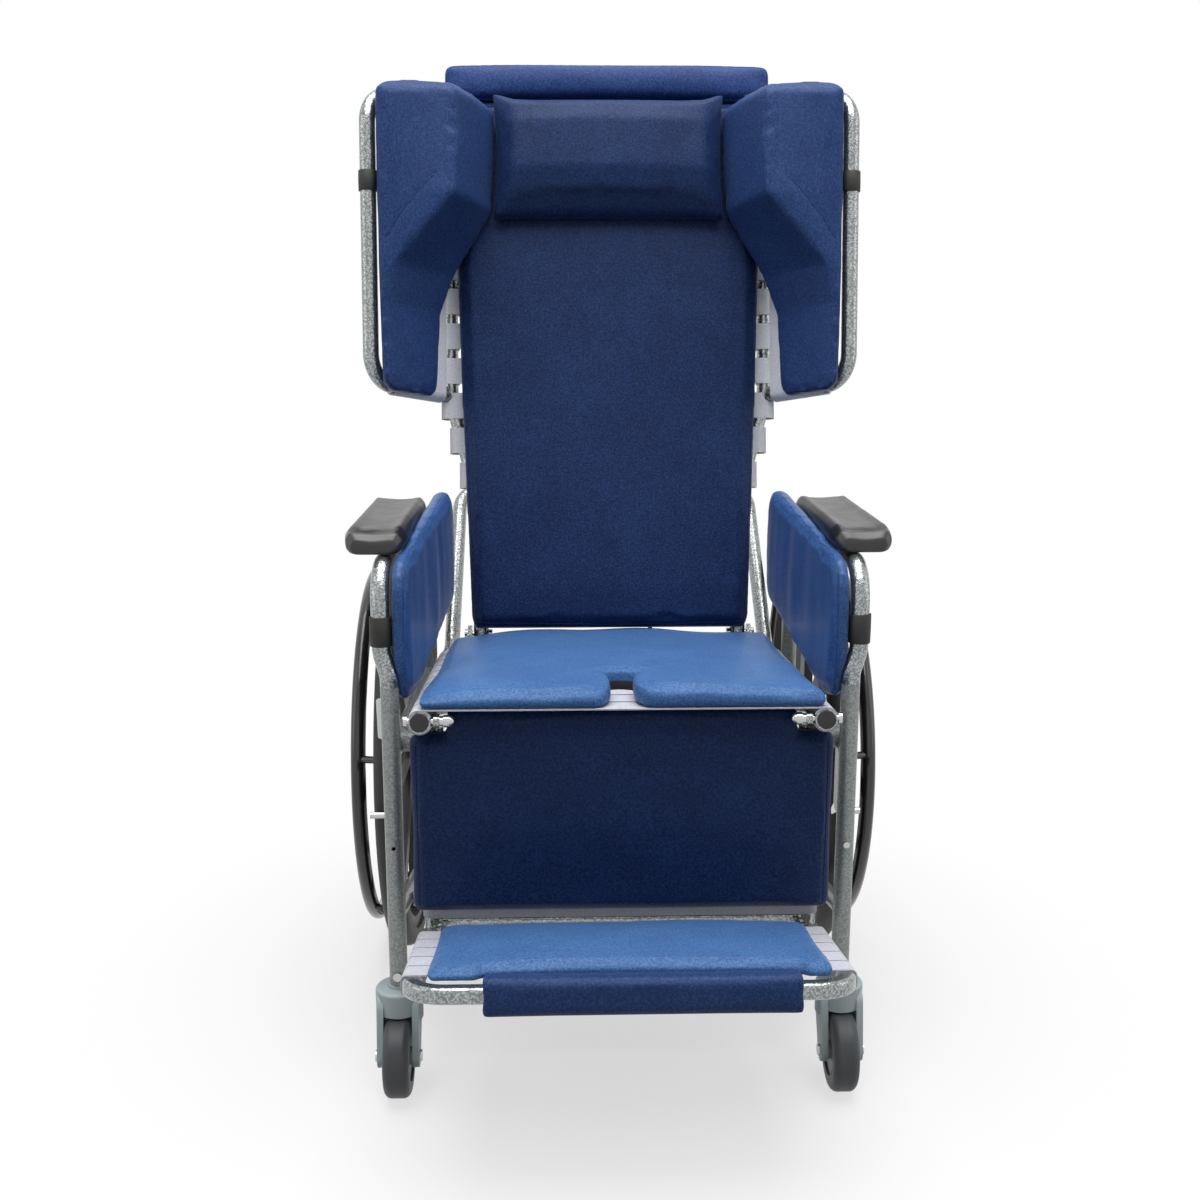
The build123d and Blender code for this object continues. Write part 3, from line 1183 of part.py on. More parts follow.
def foot_board():
    """Bent bar, straps, pad and the roll cover on its front."""
    place = foot_place()
    points = [
        (-FOOT_X, FOOT_TAIL, 0),
        (-FOOT_X, -FOOT_L, 0),
        (FOOT_X, -FOOT_L, 0),
        (FOOT_X, FOOT_TAIL, 0),
    ]
    path = FilletPolyline(*points, radius=[FOOT_BEND, FOOT_BEND])
    start = Plane(origin=path @ 0, x_dir=(1, 0, 0), z_dir=path % 0)
    section = RectangleRounded(FOOT_BAR_W, FOOT_BAR_H, 5)
    bar = place * sweep(start * section, path=path)
    bore = cross(-260, 260, FOOT_PIVOT_Y, FOOT_PIVOT_Z, FOOT_PIN_D + 2 * FIT)
    save("foot_frame", bar - bore)
    straps = []
    outer_w = FOOT_BAR_W + 0.4 + 2 * STRAP_T
    outer_h = FOOT_BAR_H + 0.4 + 2 * STRAP_T
    ring = RectangleRounded(outer_w, outer_h, 6.5) - RectangleRounded(FOOT_BAR_W + 0.4, FOOT_BAR_H + 0.4, 5.1)
    band = Pos(0, outer_h / 2 - STRAP_T / 2) * Rectangle(2 * FOOT_X, STRAP_T)
    sheet = extrude(Pos(FOOT_X, 0) * ring + Pos(-FOOT_X, 0) * ring + band, amount=FOOT_STRAP_W)
    for i in range(FOOT_STRAPS):
        far = -FOOT_STRAP_FIRST - FOOT_STRAP_PITCH * i
        straps.append(place * (Location((0, far, 0), (90, 0, 0)) * sheet))
    save("foot_straps", straps)
    high = outer_h / 2 + SKIN_GAP
    front, rear = -FOOT_L + FOOT_PAD_FRONT, -FOOT_PAD_REAR
    stations = [
        (front, FOOT_PAD_X - 4, 0.55),
        (front + 8, FOOT_PAD_X, 0.93),
        (front + 40, FOOT_PAD_X, 1),
        (rear - 40, FOOT_PAD_X, 1),
        (rear - 8, FOOT_PAD_X, 0.93),
        (rear, FOOT_PAD_X - 4, 0.55),
    ]
    save("foot_pad", place * (Pos(0, 0, high) * pad(stations, FOOT_PAD_T, FOOT_CROWN)))
    save("roll_cover", foot_roll())


def foot_roll():
    """Padded sleeve round the foot board's front bar, hanging below it."""
    core = Pos(0, 0) * RectangleRounded(FOOT_BAR_W + 2 * SKIN_GAP, FOOT_BAR_H + 2 * SKIN_GAP, 5.4)
    skin = Pos(-ROLL_WALL / 2 + 2, -ROLL_DROP) * RectangleRounded(ROLL_DEPTH, ROLL_H, 9)
    plane = Plane(origin=(-ROLL_L / 2 + ROLL_SHIFT, -FOOT_L, 0), x_dir=(0, 1, 0), z_dir=(1, 0, 0))
    return foot_place() * extrude(plane * (skin - core), amount=ROLL_L)


# ---- gas springs --------------------------------------------------------------------------------
def gas_spring(name, x, foot, pin, body, stroke):
    """Cylinder on its foot pin and rod reaching to the far pin, along the line between them."""
    (y0, z0), (y1, z1) = foot, pin
    length = hypot(y1 - y0, z1 - z0)
    uy, uz = (y1 - y0) / length, (z1 - z0) / length

    def at(along):
        return (x, y0 + uy * along, z0 + uz * along)

    half = SPRING_EYE_W / 2
    eye = cross(x - half, x + half, y0, z0, SPRING_EYE_D)
    neck = rod(at(SPRING_EYE_D / 2 - 3), at(SPRING_EYE_D / 2 + 9), SPRING_EYE_W - 2)
    barrel = rod(at(SPRING_EYE_D / 2 + 8), at(body), SPRING_D)
    bore = rod(at(SPRING_BORE_FOOT), at(body + 1), SPRING_ROD_D + 2 * FIT)
    pin_bore = cross(x - 20, x + 20, y0, z0, SPRING_PIN_D + 2 * FIT)
    save(f"{name}_cylinder", fused([eye, neck, barrel]) - bore - pin_bore)
    far_eye = cross(x - half, x + half, y1, z1, SPRING_EYE_D)
    stem = rod(at(SPRING_BORE_FOOT + stroke + 1), at(length - SPRING_EYE_D / 2 + 2), SPRING_ROD_D)
    far_bore = cross(x - 20, x + 20, y1, z1, SPRING_PIN_D + 2 * OPEN_PIVOT_GAP)
    save(f"{name}_rod", far_eye + stem - far_bore)


MID_Y = (foot_roll().bounding_box().min.Y + REAR_Y) / 2
seat()
back()
leg_rest()
foot_board()
gas_spring(
    "tilt",
    TILT_SPRING_X,
    (TILT_FOOT_Y, TILT_FOOT_Z),
    (TILT_SPRING_Y, TILT_SPRING_Z),
    TILT_SPRING_BODY,
    TILT_STROKE,
)
gas_spring(
    "recline",
    RECLINE_SPRING_X,
    (RECLINE_SPRING_Y, RECLINE_SPRING_Z),
    (RECLINE_PIN_Y, RECLINE_PIN_Z),
    RECLINE_SPRING_BODY,
    RECLINE_STROKE,
)
base()
for SIDE_NAME, SIDE in SIDES:
    save(f"lock_lever_{SIDE_NAME}", lock_lever(SIDE))
    caster(SIDE_NAME, SIDE)
    rear_wheel(SIDE_NAME, SIDE)
    TIP_IN = SIDE * (REAR_POST_X - TIP_TUBE / 2 - 1 - TIP_WHEEL_W)
    TIP_OUT = SIDE * (REAR_POST_X - TIP_TUBE / 2 - 1)
    TIP_Z = TIP_WHEEL_R + TIP_WHEEL_LIFT
    save(
        f"anti_tip_wheel_{SIDE_NAME}",
        disc(TIP_IN, TIP_OUT, TIP_WHEEL_Y, TIP_Z, TIP_WHEEL_R, TIP_AXLE_D / 2 + FIT, 3),
    )
    arm(SIDE_NAME, SIDE)
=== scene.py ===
import json
import logging
import math
from dataclasses import dataclass
from enum import Enum

import bmesh
import bpy
import numpy as np
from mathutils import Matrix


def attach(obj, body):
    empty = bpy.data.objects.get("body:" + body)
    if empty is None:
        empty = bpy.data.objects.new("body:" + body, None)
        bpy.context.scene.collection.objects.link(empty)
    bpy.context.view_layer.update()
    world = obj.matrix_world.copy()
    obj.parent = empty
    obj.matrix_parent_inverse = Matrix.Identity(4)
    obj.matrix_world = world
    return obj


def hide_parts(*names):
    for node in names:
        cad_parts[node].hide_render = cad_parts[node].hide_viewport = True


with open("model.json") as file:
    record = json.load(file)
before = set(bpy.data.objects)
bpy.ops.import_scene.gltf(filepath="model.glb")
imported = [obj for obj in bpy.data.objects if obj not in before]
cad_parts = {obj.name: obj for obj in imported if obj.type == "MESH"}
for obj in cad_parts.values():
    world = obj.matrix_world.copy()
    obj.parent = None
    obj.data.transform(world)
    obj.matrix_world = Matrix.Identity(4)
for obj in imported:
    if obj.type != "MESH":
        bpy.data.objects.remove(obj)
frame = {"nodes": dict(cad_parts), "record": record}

LOG = logging.getLogger("wheelchair")
MM = 0.001
MID_Y = 304.32216024171464  # the source's front edge of the seat, to the middle of the chair's length
TINY = 1e-12                # keeps a division by a length that may be nought safe


# ---- numbers to colours and nodes ------------------------------------------------------------
def colour(code: str, alpha: float = 1.0) -> tuple[float, float, float, float]:
    """Turn an sRGB hex code into the linear colour that Blender's sockets take.

    Args:
        code: six hex digits, such as "#34497A".
        alpha: the fourth channel.

    Returns:
        Linear red, green, blue and alpha.
    """
    parts = [int(code.lstrip("#")[i:i + 2], 16) / 255 for i in (0, 2, 4)]
    linear = [c / 12.92 if c <= 0.04045 else ((c + 0.055) / 1.055) ** 2.4 for c in parts]
    return (linear[0], linear[1], linear[2], alpha)


def add(tree: bpy.types.NodeTree, kind: str, settings: dict | None = None,
        inputs: dict | None = None) -> bpy.types.Node:
    """Add a node with its settings, and set or link its inputs.

    Args:
        tree: the tree that gets the node.
        kind: the node's Blender type name.
        settings: properties of the node itself.
        inputs: socket name or number to a constant, or to another node's output that feeds it.

    Returns:
        The new node.
    """
    made = tree.nodes.new(kind)
    for name, value in (settings or {}).items():
        setattr(made, name, value)
    for name, value in (inputs or {}).items():
        if isinstance(value, bpy.types.NodeSocket):
            tree.links.new(value, made.inputs[name])
        else:
            made.inputs[name].default_value = value
    return made


def ramp(tree: bpy.types.NodeTree, source: bpy.types.NodeSocket,
         stops: list[tuple[float, str]]) -> bpy.types.NodeSocket:
    """Colour ramp between hex colours at given places.

    Args:
        tree: the tree that gets the ramp.
        source: the value that runs along the ramp.
        stops: place and hex colour of each stop.

    Returns:
        The ramp's colour output.
    """
    made = add(tree, "ShaderNodeValToRGB", None, {"Fac": source})
    first, last = made.color_ramp.elements[0], made.color_ramp.elements[1]
    first.position, first.color = stops[0][0], colour(stops[0][1])
    last.position, last.color = stops[-1][0], colour(stops[-1][1])
    for place, code in stops[1:-1]:
        made.color_ramp.elements.new(place).color = colour(code)
    return made.outputs["Color"]


class Finish:
    """Base of the finishes: a named material, made once and then shared."""

    name: str

    def material(self) -> bpy.types.Material:
        """Make the finish's material on the first call, and find it again after that.

        Returns:
            The material.
        """
        known = bpy.data.materials.get(self.name)
        if known:
            return known
        made = bpy.data.materials.new(self.name)
        made.use_nodes = True
        tree = made.node_tree
        tree.nodes.clear()
        place = add(tree, "ShaderNodeTexCoord").outputs["Object"]
        shader = add(tree, "ShaderNodeBsdfPrincipled")
        add(tree, "ShaderNodeOutputMaterial", None, {"Surface": shader.outputs["BSDF"]})
        self.lay(tree, place, shader)
        return made

    def lay(self, tree: bpy.types.NodeTree, place: bpy.types.NodeSocket, shader: bpy.types.Node) -> None:
        """Give the shader its colour, gloss and relief.

        Args:
            tree: the material's nodes.
            place: Object coordinates, in metres.
            shader: the surface shader that they feed.
        """
        raise NotImplementedError


@dataclass(frozen=True)
class PolishedVinyl(Finish):
    """Calendered PVC upholstery vinyl with a fine pressed leather grain.

    To the eye: an even dyed blue with a faint mottle, tiny pebbles of grain that break up a soft broad
    highlight, and a thin sheen where the surface turns away.
    """

    name: str
    base: str
    deep: str
    light: str
    roughness: float = 0.42
    grain_mm: float = 1.7   # the real pebbles are about 0.6 mm; drawn as coarse as the render can show
    relief: float = 0.4
    coat: float = 0.0

    def lay(self, tree: bpy.types.NodeTree, place: bpy.types.NodeSocket, shader: bpy.types.Node) -> None:
        """Mottle and speckle the dye, and raise the pebbles and slack waves as bump.

        The mottle is some 70 mm across and the specks 2.5 mm, coarser than real ones so that they show; the
        slack waves are some 50 mm across.

        Args:
            tree: the material's nodes.
            place: Object coordinates, in metres.
            shader: the surface shader that they feed.
        """
        cloud = add(tree, "ShaderNodeTexNoise", None,
                    {"Vector": place, "Scale": 14.0, "Detail": 4.0, "Roughness": 0.55})
        speck = add(tree, "ShaderNodeTexNoise", None,
                    {"Vector": place, "Scale": 400.0, "Detail": 2.0, "Roughness": 0.6})
        blend = add(tree, "ShaderNodeMix", {"data_type": "FLOAT"},
                    {0: 0.8, 2: cloud.outputs["Fac"], 3: speck.outputs["Fac"]})
        dye = ramp(tree, blend.outputs[0], [(0.38, self.deep), (0.5, self.base), (0.62, self.light)])
        pebbles = add(tree, "ShaderNodeTexVoronoi", {"feature": "SMOOTH_F1"},
                      {"Vector": place, "Scale": 1 / (self.grain_mm * MM), "Smoothness": 0.6})
        rough = add(tree, "ShaderNodeMapRange", None,
                    {"Value": pebbles.outputs["Distance"], "From Min": 0.0, "From Max": 0.7,
                     "To Min": self.roughness - 0.05, "To Max": self.roughness + 0.1})
        grain = add(tree, "ShaderNodeBump", {"invert": True},
                    {"Height": pebbles.outputs["Distance"], "Strength": self.relief, "Distance": 0.0004})
        slack = add(tree, "ShaderNodeTexNoise", None,
                    {"Vector": place, "Scale": 21.0, "Detail": 3.0, "Roughness": 0.45, "Distortion": 0.4})
        wave = add(tree, "ShaderNodeBump", None,
                   {"Height": slack.outputs["Fac"], "Strength": 0.18, "Distance": 0.004,
                    "Normal": grain.outputs["Normal"]})
        tree.links.new(dye, shader.inputs["Base Color"])
        tree.links.new(rough.outputs["Result"], shader.inputs["Roughness"])
        tree.links.new(wave.outputs["Normal"], shader.inputs["Normal"])
        shader.inputs["IOR"].default_value = 1.5
        shader.inputs["Specular IOR Level"].default_value = 0.15
        shader.inputs["Coat Weight"].default_value = self.coat
        shader.inputs["Coat Roughness"].default_value = 0.3
        shader.inputs["Sheen Weight"].default_value = 0.04
        shader.inputs["Sheen Roughness"].default_value = 0.35


@dataclass(frozen=True)
class Hammertone(Finish):
    """Hammered silver-grey stoving enamel on steel tube.

    To the eye: a metallic paint full of small round dimples whose rims are darker, so that highlights along
    the tube break into bright and dark flecks.
    """

    name: str
    base: str
    deep: str
    light: str
    metallic: float
    roughness: float
    dimple_mm: float = 2.6
    relief: float = 0.5

    def lay(self, tree: bpy.types.NodeTree, place: bpy.types.NodeSocket, shader: bpy.types.Node) -> None:
        """Dimples from cells, darker at their rims, with a metal fleck of about 1 mm over them.

        Args:
            tree: the material's nodes.
            place: Object coordinates, in metres.
            shader: the surface shader that they feed.
        """
        bend = add(tree, "ShaderNodeTexNoise", None, {"Vector": place, "Scale": 260.0, "Detail": 2.0})
        warp = add(tree, "ShaderNodeMix", {"data_type": "VECTOR"},
                   {0: 0.0035, 4: place, 5: bend.outputs["Color"]})
        cells = add(tree, "ShaderNodeTexVoronoi", {"feature": "SMOOTH_F1"},
                    {"Vector": warp.outputs[1], "Scale": 1 / (self.dimple_mm * MM), "Smoothness": 0.4})
        fleck = add(tree, "ShaderNodeTexNoise", None,
                    {"Vector": place, "Scale": 900.0, "Detail": 3.0, "Roughness": 0.7})
        both = add(tree, "ShaderNodeMix", {"data_type": "FLOAT"},
                   {0: 0.5, 2: cells.outputs["Distance"], 3: fleck.outputs["Fac"]})
        paint = ramp(tree, both.outputs[0], [(0.30, self.light), (0.47, self.base), (0.66, self.deep)])
        bump = add(tree, "ShaderNodeBump", None,
                   {"Height": cells.outputs["Distance"], "Strength": self.relief, "Distance": 0.0006})
        tree.links.new(paint, shader.inputs["Base Color"])
        tree.links.new(bump.outputs["Normal"], shader.inputs["Normal"])
        shader.inputs["Metallic"].default_value = self.metallic
        shader.inputs["Roughness"].default_value = self.roughness
        shader.inputs["Coat Weight"].default_value = 0.35
        shader.inputs["Coat Roughness"].default_value = 0.12


@dataclass(frozen=True)
class PlatedSteel(Finish):
    """Nickel or zinc plated steel, turned or rolled.

    To the eye: bright neutral metal with faint handling marks that soften its reflections.
    """

    name: str
    base: str
    roughness: float

    def lay(self, tree: bpy.types.NodeTree, place: bpy.types.NodeSocket, shader: bpy.types.Node) -> None:
        """A polished metal whose gloss varies a little with scuffs of 2 to 3 mm.

        Args:
            tree: the material's nodes.
            place: Object coordinates, in metres.
            shader: the surface shader that they feed.
        """
        scuff = add(tree, "ShaderNodeTexNoise", None,
                    {"Vector": place, "Scale": 380.0, "Detail": 5.0, "Roughness": 0.65})
        rough = add(tree, "ShaderNodeMapRange", None,
                    {"Value": scuff.outputs["Fac"], "From Min": 0.3, "From Max": 0.7,
                     "To Min": self.roughness * 0.75, "To Max": self.roughness * 1.35})
        bump = add(tree, "ShaderNodeBump", None,
                   {"Height": scuff.outputs["Fac"], "Strength": 0.05, "Distance": 0.0002})
        shader.inputs["Base Color"].default_value = colour(self.base)
        shader.inputs["Metallic"].default_value = 1.0
        tree.links.new(rough.outputs["Result"], shader.inputs["Roughness"])
        tree.links.new(bump.outputs["Normal"], shader.inputs["Normal"])


@dataclass(frozen=True)
class Moulded(Finish):
    """Injection-moulded nylon or ABS, self-skinned foam, or cured rubber.

    To the eye: an even colour with a light texture from the mould, and slightly paler, duller patches from
    use.
    """

    name: str
    base: str
    worn: str
    roughness: float
    texture_mm: float
    relief: float
    ior: float = 1.5
    coat: float = 0.0

    def lay(self, tree: bpy.types.NodeTree, place: bpy.types.NodeSocket, shader: bpy.types.Node) -> None:
        """Mould texture as bump, with a faint cloud of wear, 30 mm across, over the colour and gloss.

        Args:
            tree: the material's nodes.
            place: Object coordinates, in metres.
            shader: the surface shader that they feed.
        """
        wear = add(tree, "ShaderNodeTexNoise", None,
                   {"Vector": place, "Scale": 32.0, "Detail": 5.0, "Roughness": 0.6})
        tint = ramp(tree, wear.outputs["Fac"], [(0.4, self.base), (0.75, self.worn)])
        pits = add(tree, "ShaderNodeTexNoise", None,
                   {"Vector": place, "Scale": 1 / (self.texture_mm * MM), "Detail": 3.0, "Roughness": 0.6})
        rough = add(tree, "ShaderNodeMapRange", None,
                    {"Value": wear.outputs["Fac"], "From Min": 0.3, "From Max": 0.7,
                     "To Min": self.roughness - 0.04, "To Max": self.roughness + 0.06})
        bump = add(tree, "ShaderNodeBump", None,
                   {"Height": pits.outputs["Fac"], "Strength": self.relief, "Distance": 0.0003})
        tree.links.new(tint, shader.inputs["Base Color"])
        tree.links.new(rough.outputs["Result"], shader.inputs["Roughness"])
        tree.links.new(bump.outputs["Normal"], shader.inputs["Normal"])
        shader.inputs["IOR"].default_value = self.ior
        shader.inputs["Coat Weight"].default_value = self.coat


NAVY = PolishedVinyl("navy_vinyl", "#182B52", "#102044", "#223A66", roughness=0.46)
# Painted top light: a brighter copy of the navy back vinyl for the headrest band, as lit from above.
NAVY_PAINTED_TOP_LIGHT = PolishedVinyl("head_band_vinyl_painted_top_light", "#22396C", "#192D5C", "#2D4880", roughness=0.42)
BLUE = PolishedVinyl("wing_blue_vinyl", "#243B69", "#1B2F5A", "#2F497B", roughness=0.42)
PANEL_BLUE = PolishedVinyl("panel_blue_vinyl", "#31538A", "#27467B", "#3F649A", roughness=0.34, coat=0.2)
# Painted top light: a lighter copy of the navy vinyl for the up-facing seat and foot pads.
SEAT_BLUE_PAINTED_TOP_LIGHT = PolishedVinyl("seat_blue_vinyl", "#43699E", "#385B91", "#517AAD", roughness=0.40)
STRAP = PolishedVinyl("pale_strap_vinyl", "#C6C7D0", "#BBBCC7", "#D0D1D9", roughness=0.5, relief=0.15)
# Painted light: a whiter copy of the pale strap vinyl for the back and wing straps, where light falls on
# them.
STRAP_PAINTED_LIGHT = PolishedVinyl("strap_vinyl_painted_light", "#E8E9F0", "#DFE0E8", "#EFF0F5", roughness=0.45,
                           relief=0.15)
FRAME_PAINT = Hammertone("glossy_hammertone", "#949898", "#6C7070", "#BABEBE", metallic=0.85, roughness=0.22)
DULL_PAINT = Hammertone("mottled_hammertone", "#8E9392", "#7A7F7E", "#A3A8A7", metallic=0.45, roughness=0.46)
CHROME = PlatedSteel("bright_plating", "#B4B5B5", 0.14)
ZINC = PlatedSteel("zinc_plating", "#B4B6B8", 0.3)
BLACK_PLASTIC = Moulded("black_nylon", "#18181A", "#242427", 0.45, 0.8, 0.15)
BLACK_BAND = Moulded("black_elastic_band", "#171714", "#22221F", 0.62, 1.2, 0.35)
# Painted shade: near-black for the sheet that stands for the shadow inside the seat's keyhole.
KEYHOLE_PAINTED_SHADE = Moulded("keyhole_painted_shade_black", "#050506", "#09090A", 0.85, 1.2, 0.2)
GREY_PLASTIC = Moulded("blue_grey_nylon", "#B0BEC1", "#B8C5C8", 0.42, 1.0, 0.12)
HUB_PLASTIC = Moulded("hub_nylon", "#9EA4A5", "#A9AFAF", 0.45, 1.0, 0.12)
TREAD = Moulded("grey_caster_rubber", "#3C3E42", "#47494D", 0.5, 1.0, 0.15)
TYRE = Moulded("black_tyre_rubber", "#1B1B1D", "#262628", 0.55, 1.0, 0.25)
RIM_COAT = Moulded("coated_rim", "#171719", "#202022", 0.22, 2.0, 0.05, coat=0.3)
ARM_FOAM = Moulded("self_skinned_foam", "#131315", "#1A1A1C", 0.33, 1.1, 0.22, ior=1.58)
GRIP_RUBBER = Moulded("grip_rubber", "#161616", "#222222", 0.6, 1.0, 0.3)

SLOT_FINISH: dict[str, Finish] = {
    "frame_paint": FRAME_PAINT,
    "frame_paint_dull": DULL_PAINT,
    "bright_steel": CHROME,
    "plain_steel": ZINC,
    "black_plastic": BLACK_PLASTIC,
    "grey_plastic": GREY_PLASTIC,
    "caster_tread": TREAD,
    "hub_plastic": HUB_PLASTIC,
    "black_tyre": TYRE,
    "rim_coating": RIM_COAT,
    "arm_foam": ARM_FOAM,
    "panel_vinyl": PANEL_BLUE,
    "seat_vinyl": SEAT_BLUE_PAINTED_TOP_LIGHT,
    "back_vinyl": NAVY,
    "wing_vinyl": BLUE,
    "strap_vinyl": STRAP,
    "grip_rubber": GRIP_RUBBER,
}
# the back and wing straps take the whiter strap copy, painted light
NODE_FINISH: dict[str, Finish] = {"back_straps": STRAP_PAINTED_LIGHT, "wing_straps": STRAP_PAINTED_LIGHT}


# ---- meshes from arrays ------------------------------------------------------------------------
class Ends(Enum):
    """What closes the first and last row of a grid."""

    OPEN = "open"
    CAPPED = "capped"
    JOINED = "joined"


def mesh_object(name: str, points: np.ndarray, faces: list[list[int]], finish: Finish) -> bpy.types.Object:
    """Make a smooth-shaded mesh object at the origin.

    Args:
        name: the piece's name.
        points: vertex places in metres, one row each.
        faces: vertex numbers of each face.
        finish: what the piece is made of.

    Returns:
        The new object, linked to the scene.
    """
    mesh = bpy.data.meshes.new(name)
    mesh.from_pydata(points, [], faces)
    mesh.validate()
    mesh.polygons.foreach_set("use_smooth", np.ones(len(mesh.polygons), bool))
    mesh.materials.append(finish.material())
    made = bpy.data.objects.new(name, mesh)
    bpy.context.scene.collection.objects.link(made)
    return made


def grid_faces(rows: int, columns: int, wrap: bool, ends: Ends) -> list[list[int]]:
    """Quads of a grid numbered row by row, with its ends open, capped or joined.

    Args:
        rows: how many rows of points.
        columns: how many points in a row.
        wrap: whether each row's last point joins its first.
        ends: what closes the first and last rows.

    Returns:
        Vertex numbers of each face.
    """
    i = np.arange(rows if ends is Ends.JOINED else rows - 1)[:, None]
    j = np.arange(columns if wrap else columns - 1)[None, :]
    below, after = (i + 1) % rows, (j + 1) % columns
    quads = np.stack([i * columns + j, i * columns + after, below * columns + after, below * columns + j], -1)
    faces = quads.reshape(-1, 4).tolist()
    if ends is Ends.CAPPED:
        faces.append(list(range(columns - 1, -1, -1)))
        faces.append(list(range((rows - 1) * columns, rows * columns)))
    return faces


def outward(piece: bpy.types.Object) -> bpy.types.Object:
    """Turn a closed piece's faces outwards, after its doubles are merged.

    Args:
        piece: the closed piece.

    Returns:
        The same piece.
    """
    work = bmesh.new()
    work.from_mesh(piece.data)
    bmesh.ops.remove_doubles(work, verts=work.verts, dist=1e-6)
    bmesh.ops.recalc_face_normals(work, faces=work.faces)
    work.to_mesh(piece.data)
    work.free()
    return piece


def tube_along(name: str, path: np.ndarray, up: np.ndarray, radius: tuple[float, float], finish: Finish,
               closed: bool = False, sides: int = 10) -> bpy.types.Object:
    """Carry an oval along a path.

    Each ring is path + cos(a) * r0 * side + sin(a) * r1 * lift, where side is square to the path and to up,
    and lift is square to the path and to side.

    Args:
        name: the piece's name.
        path: points in metres.
        up: a direction at each point, roughly square to the path.
        radius: half widths of the oval, across and along up.
        finish: what the piece is made of.
        closed: whether the path joins up.
        sides: points round the oval.

    Returns:
        The new object.
    """
    if closed:
        ahead = np.roll(path, -1, 0) - np.roll(path, 1, 0)
    else:
        ahead = np.gradient(path, axis=0)
    ahead /= np.linalg.norm(ahead, axis=1, keepdims=True) + TINY
    side = np.cross(ahead, up)
    side /= np.linalg.norm(side, axis=1, keepdims=True) + TINY
    lift = np.cross(side, ahead)
    turn = np.linspace(0, 2 * np.pi, sides, endpoint=False)
    ring = (path[:, None] + np.cos(turn)[None, :, None] * radius[0] * side[:, None]
            + np.sin(turn)[None, :, None] * radius[1] * lift[:, None])
    ends = Ends.JOINED if closed else Ends.CAPPED
    made = mesh_object(name, ring.reshape(-1, 3), grid_faces(len(path), sides, True, ends), finish)
    return outward(made)


def verts_of(mesh: bpy.types.Mesh) -> np.ndarray:
    """Read all vertex places of a mesh.

    Args:
        mesh: the mesh.

    Returns:
        One row of x, y and z for each vertex.
    """
    flat = np.empty(len(mesh.vertices) * 3)
    mesh.vertices.foreach_get("co", flat)
    return flat.reshape(-1, 3)


def normals_of(mesh: bpy.types.Mesh) -> np.ndarray:
    """Read all vertex normals of a mesh.

    Args:
        mesh: the mesh.

    Returns:
        One row of x, y and z for each vertex.
    """
    flat = np.empty(len(mesh.vertices) * 3, np.float32)
    mesh.vertex_normals.foreach_get("vector", flat)
    return flat.reshape(-1, 3).astype(float)


def put_verts(mesh: bpy.types.Mesh, points: np.ndarray) -> None:
    """Write vertex places back to a mesh."""
    mesh.vertices.foreach_set("co", points.ravel())
    mesh.update()


def smoothstep(value: np.ndarray, low: float, high: float) -> np.ndarray:
    """Rise from 0 at low to 1 at high with level ends."""
    share = np.clip((value - low) / (high - low), 0, 1)
    return share * share * (3 - 2 * share)


@dataclass(frozen=True)
class Lean:
    """A leaning plane of the chair: its origin and its turn about the X axis, in the source's millimetres."""

    origin_y: float
    origin_z: float
    angle: float

    def world(self, points: np.ndarray) -> np.ndarray:
        """Turn local millimetres to the scene's metres.

        Args:
            points: rows of x, run and rise.

        Returns:
            Rows of x, y and z.
        """
        c, s = math.cos(math.radians(self.angle)), math.sin(math.radians(self.angle))
        x, run, rise = points[..., 0], points[..., 1], points[..., 2]
        y = self.origin_y + run * c + rise * s - MID_Y
        z = self.origin_z - run * s + rise * c
        return np.stack([x, y, z], -1) * MM

    def local(self, points: np.ndarray) -> np.ndarray:
        """Turn the scene's metres to local millimetres.

        Args:
            points: rows of x, y and z.

        Returns:
            Rows of x, run and rise.
        """
        c, s = math.cos(math.radians(self.angle)), math.sin(math.radians(self.angle))
        x, y, z = points[..., 0] / MM, points[..., 1] / MM + MID_Y, points[..., 2] / MM
        dy, dz = y - self.origin_y, z - self.origin_z
        return np.stack([x, dy * c - dz * s, dy * s + dz * c], -1)

    def turned(self, way: tuple[float, float, float]) -> np.ndarray:
        """Turn a local direction to the scene.

        Args:
            way: the direction in x, run and rise.

        Returns:
            The same direction in x, y and z, one long.
        """
        start = self.world(np.zeros(3))
        step = self.world(np.asarray(way, float)) - start
        return step / np.linalg.norm(step)


SEAT = Lean(-2.0, 492.4, 4.7)
BACK = Lean(420.0, 519.5, 12.3)
FOOT = Lean(24.0, 218.0, 11.113)
LEVEL = Lean(0.0, 0.0, 0.0)


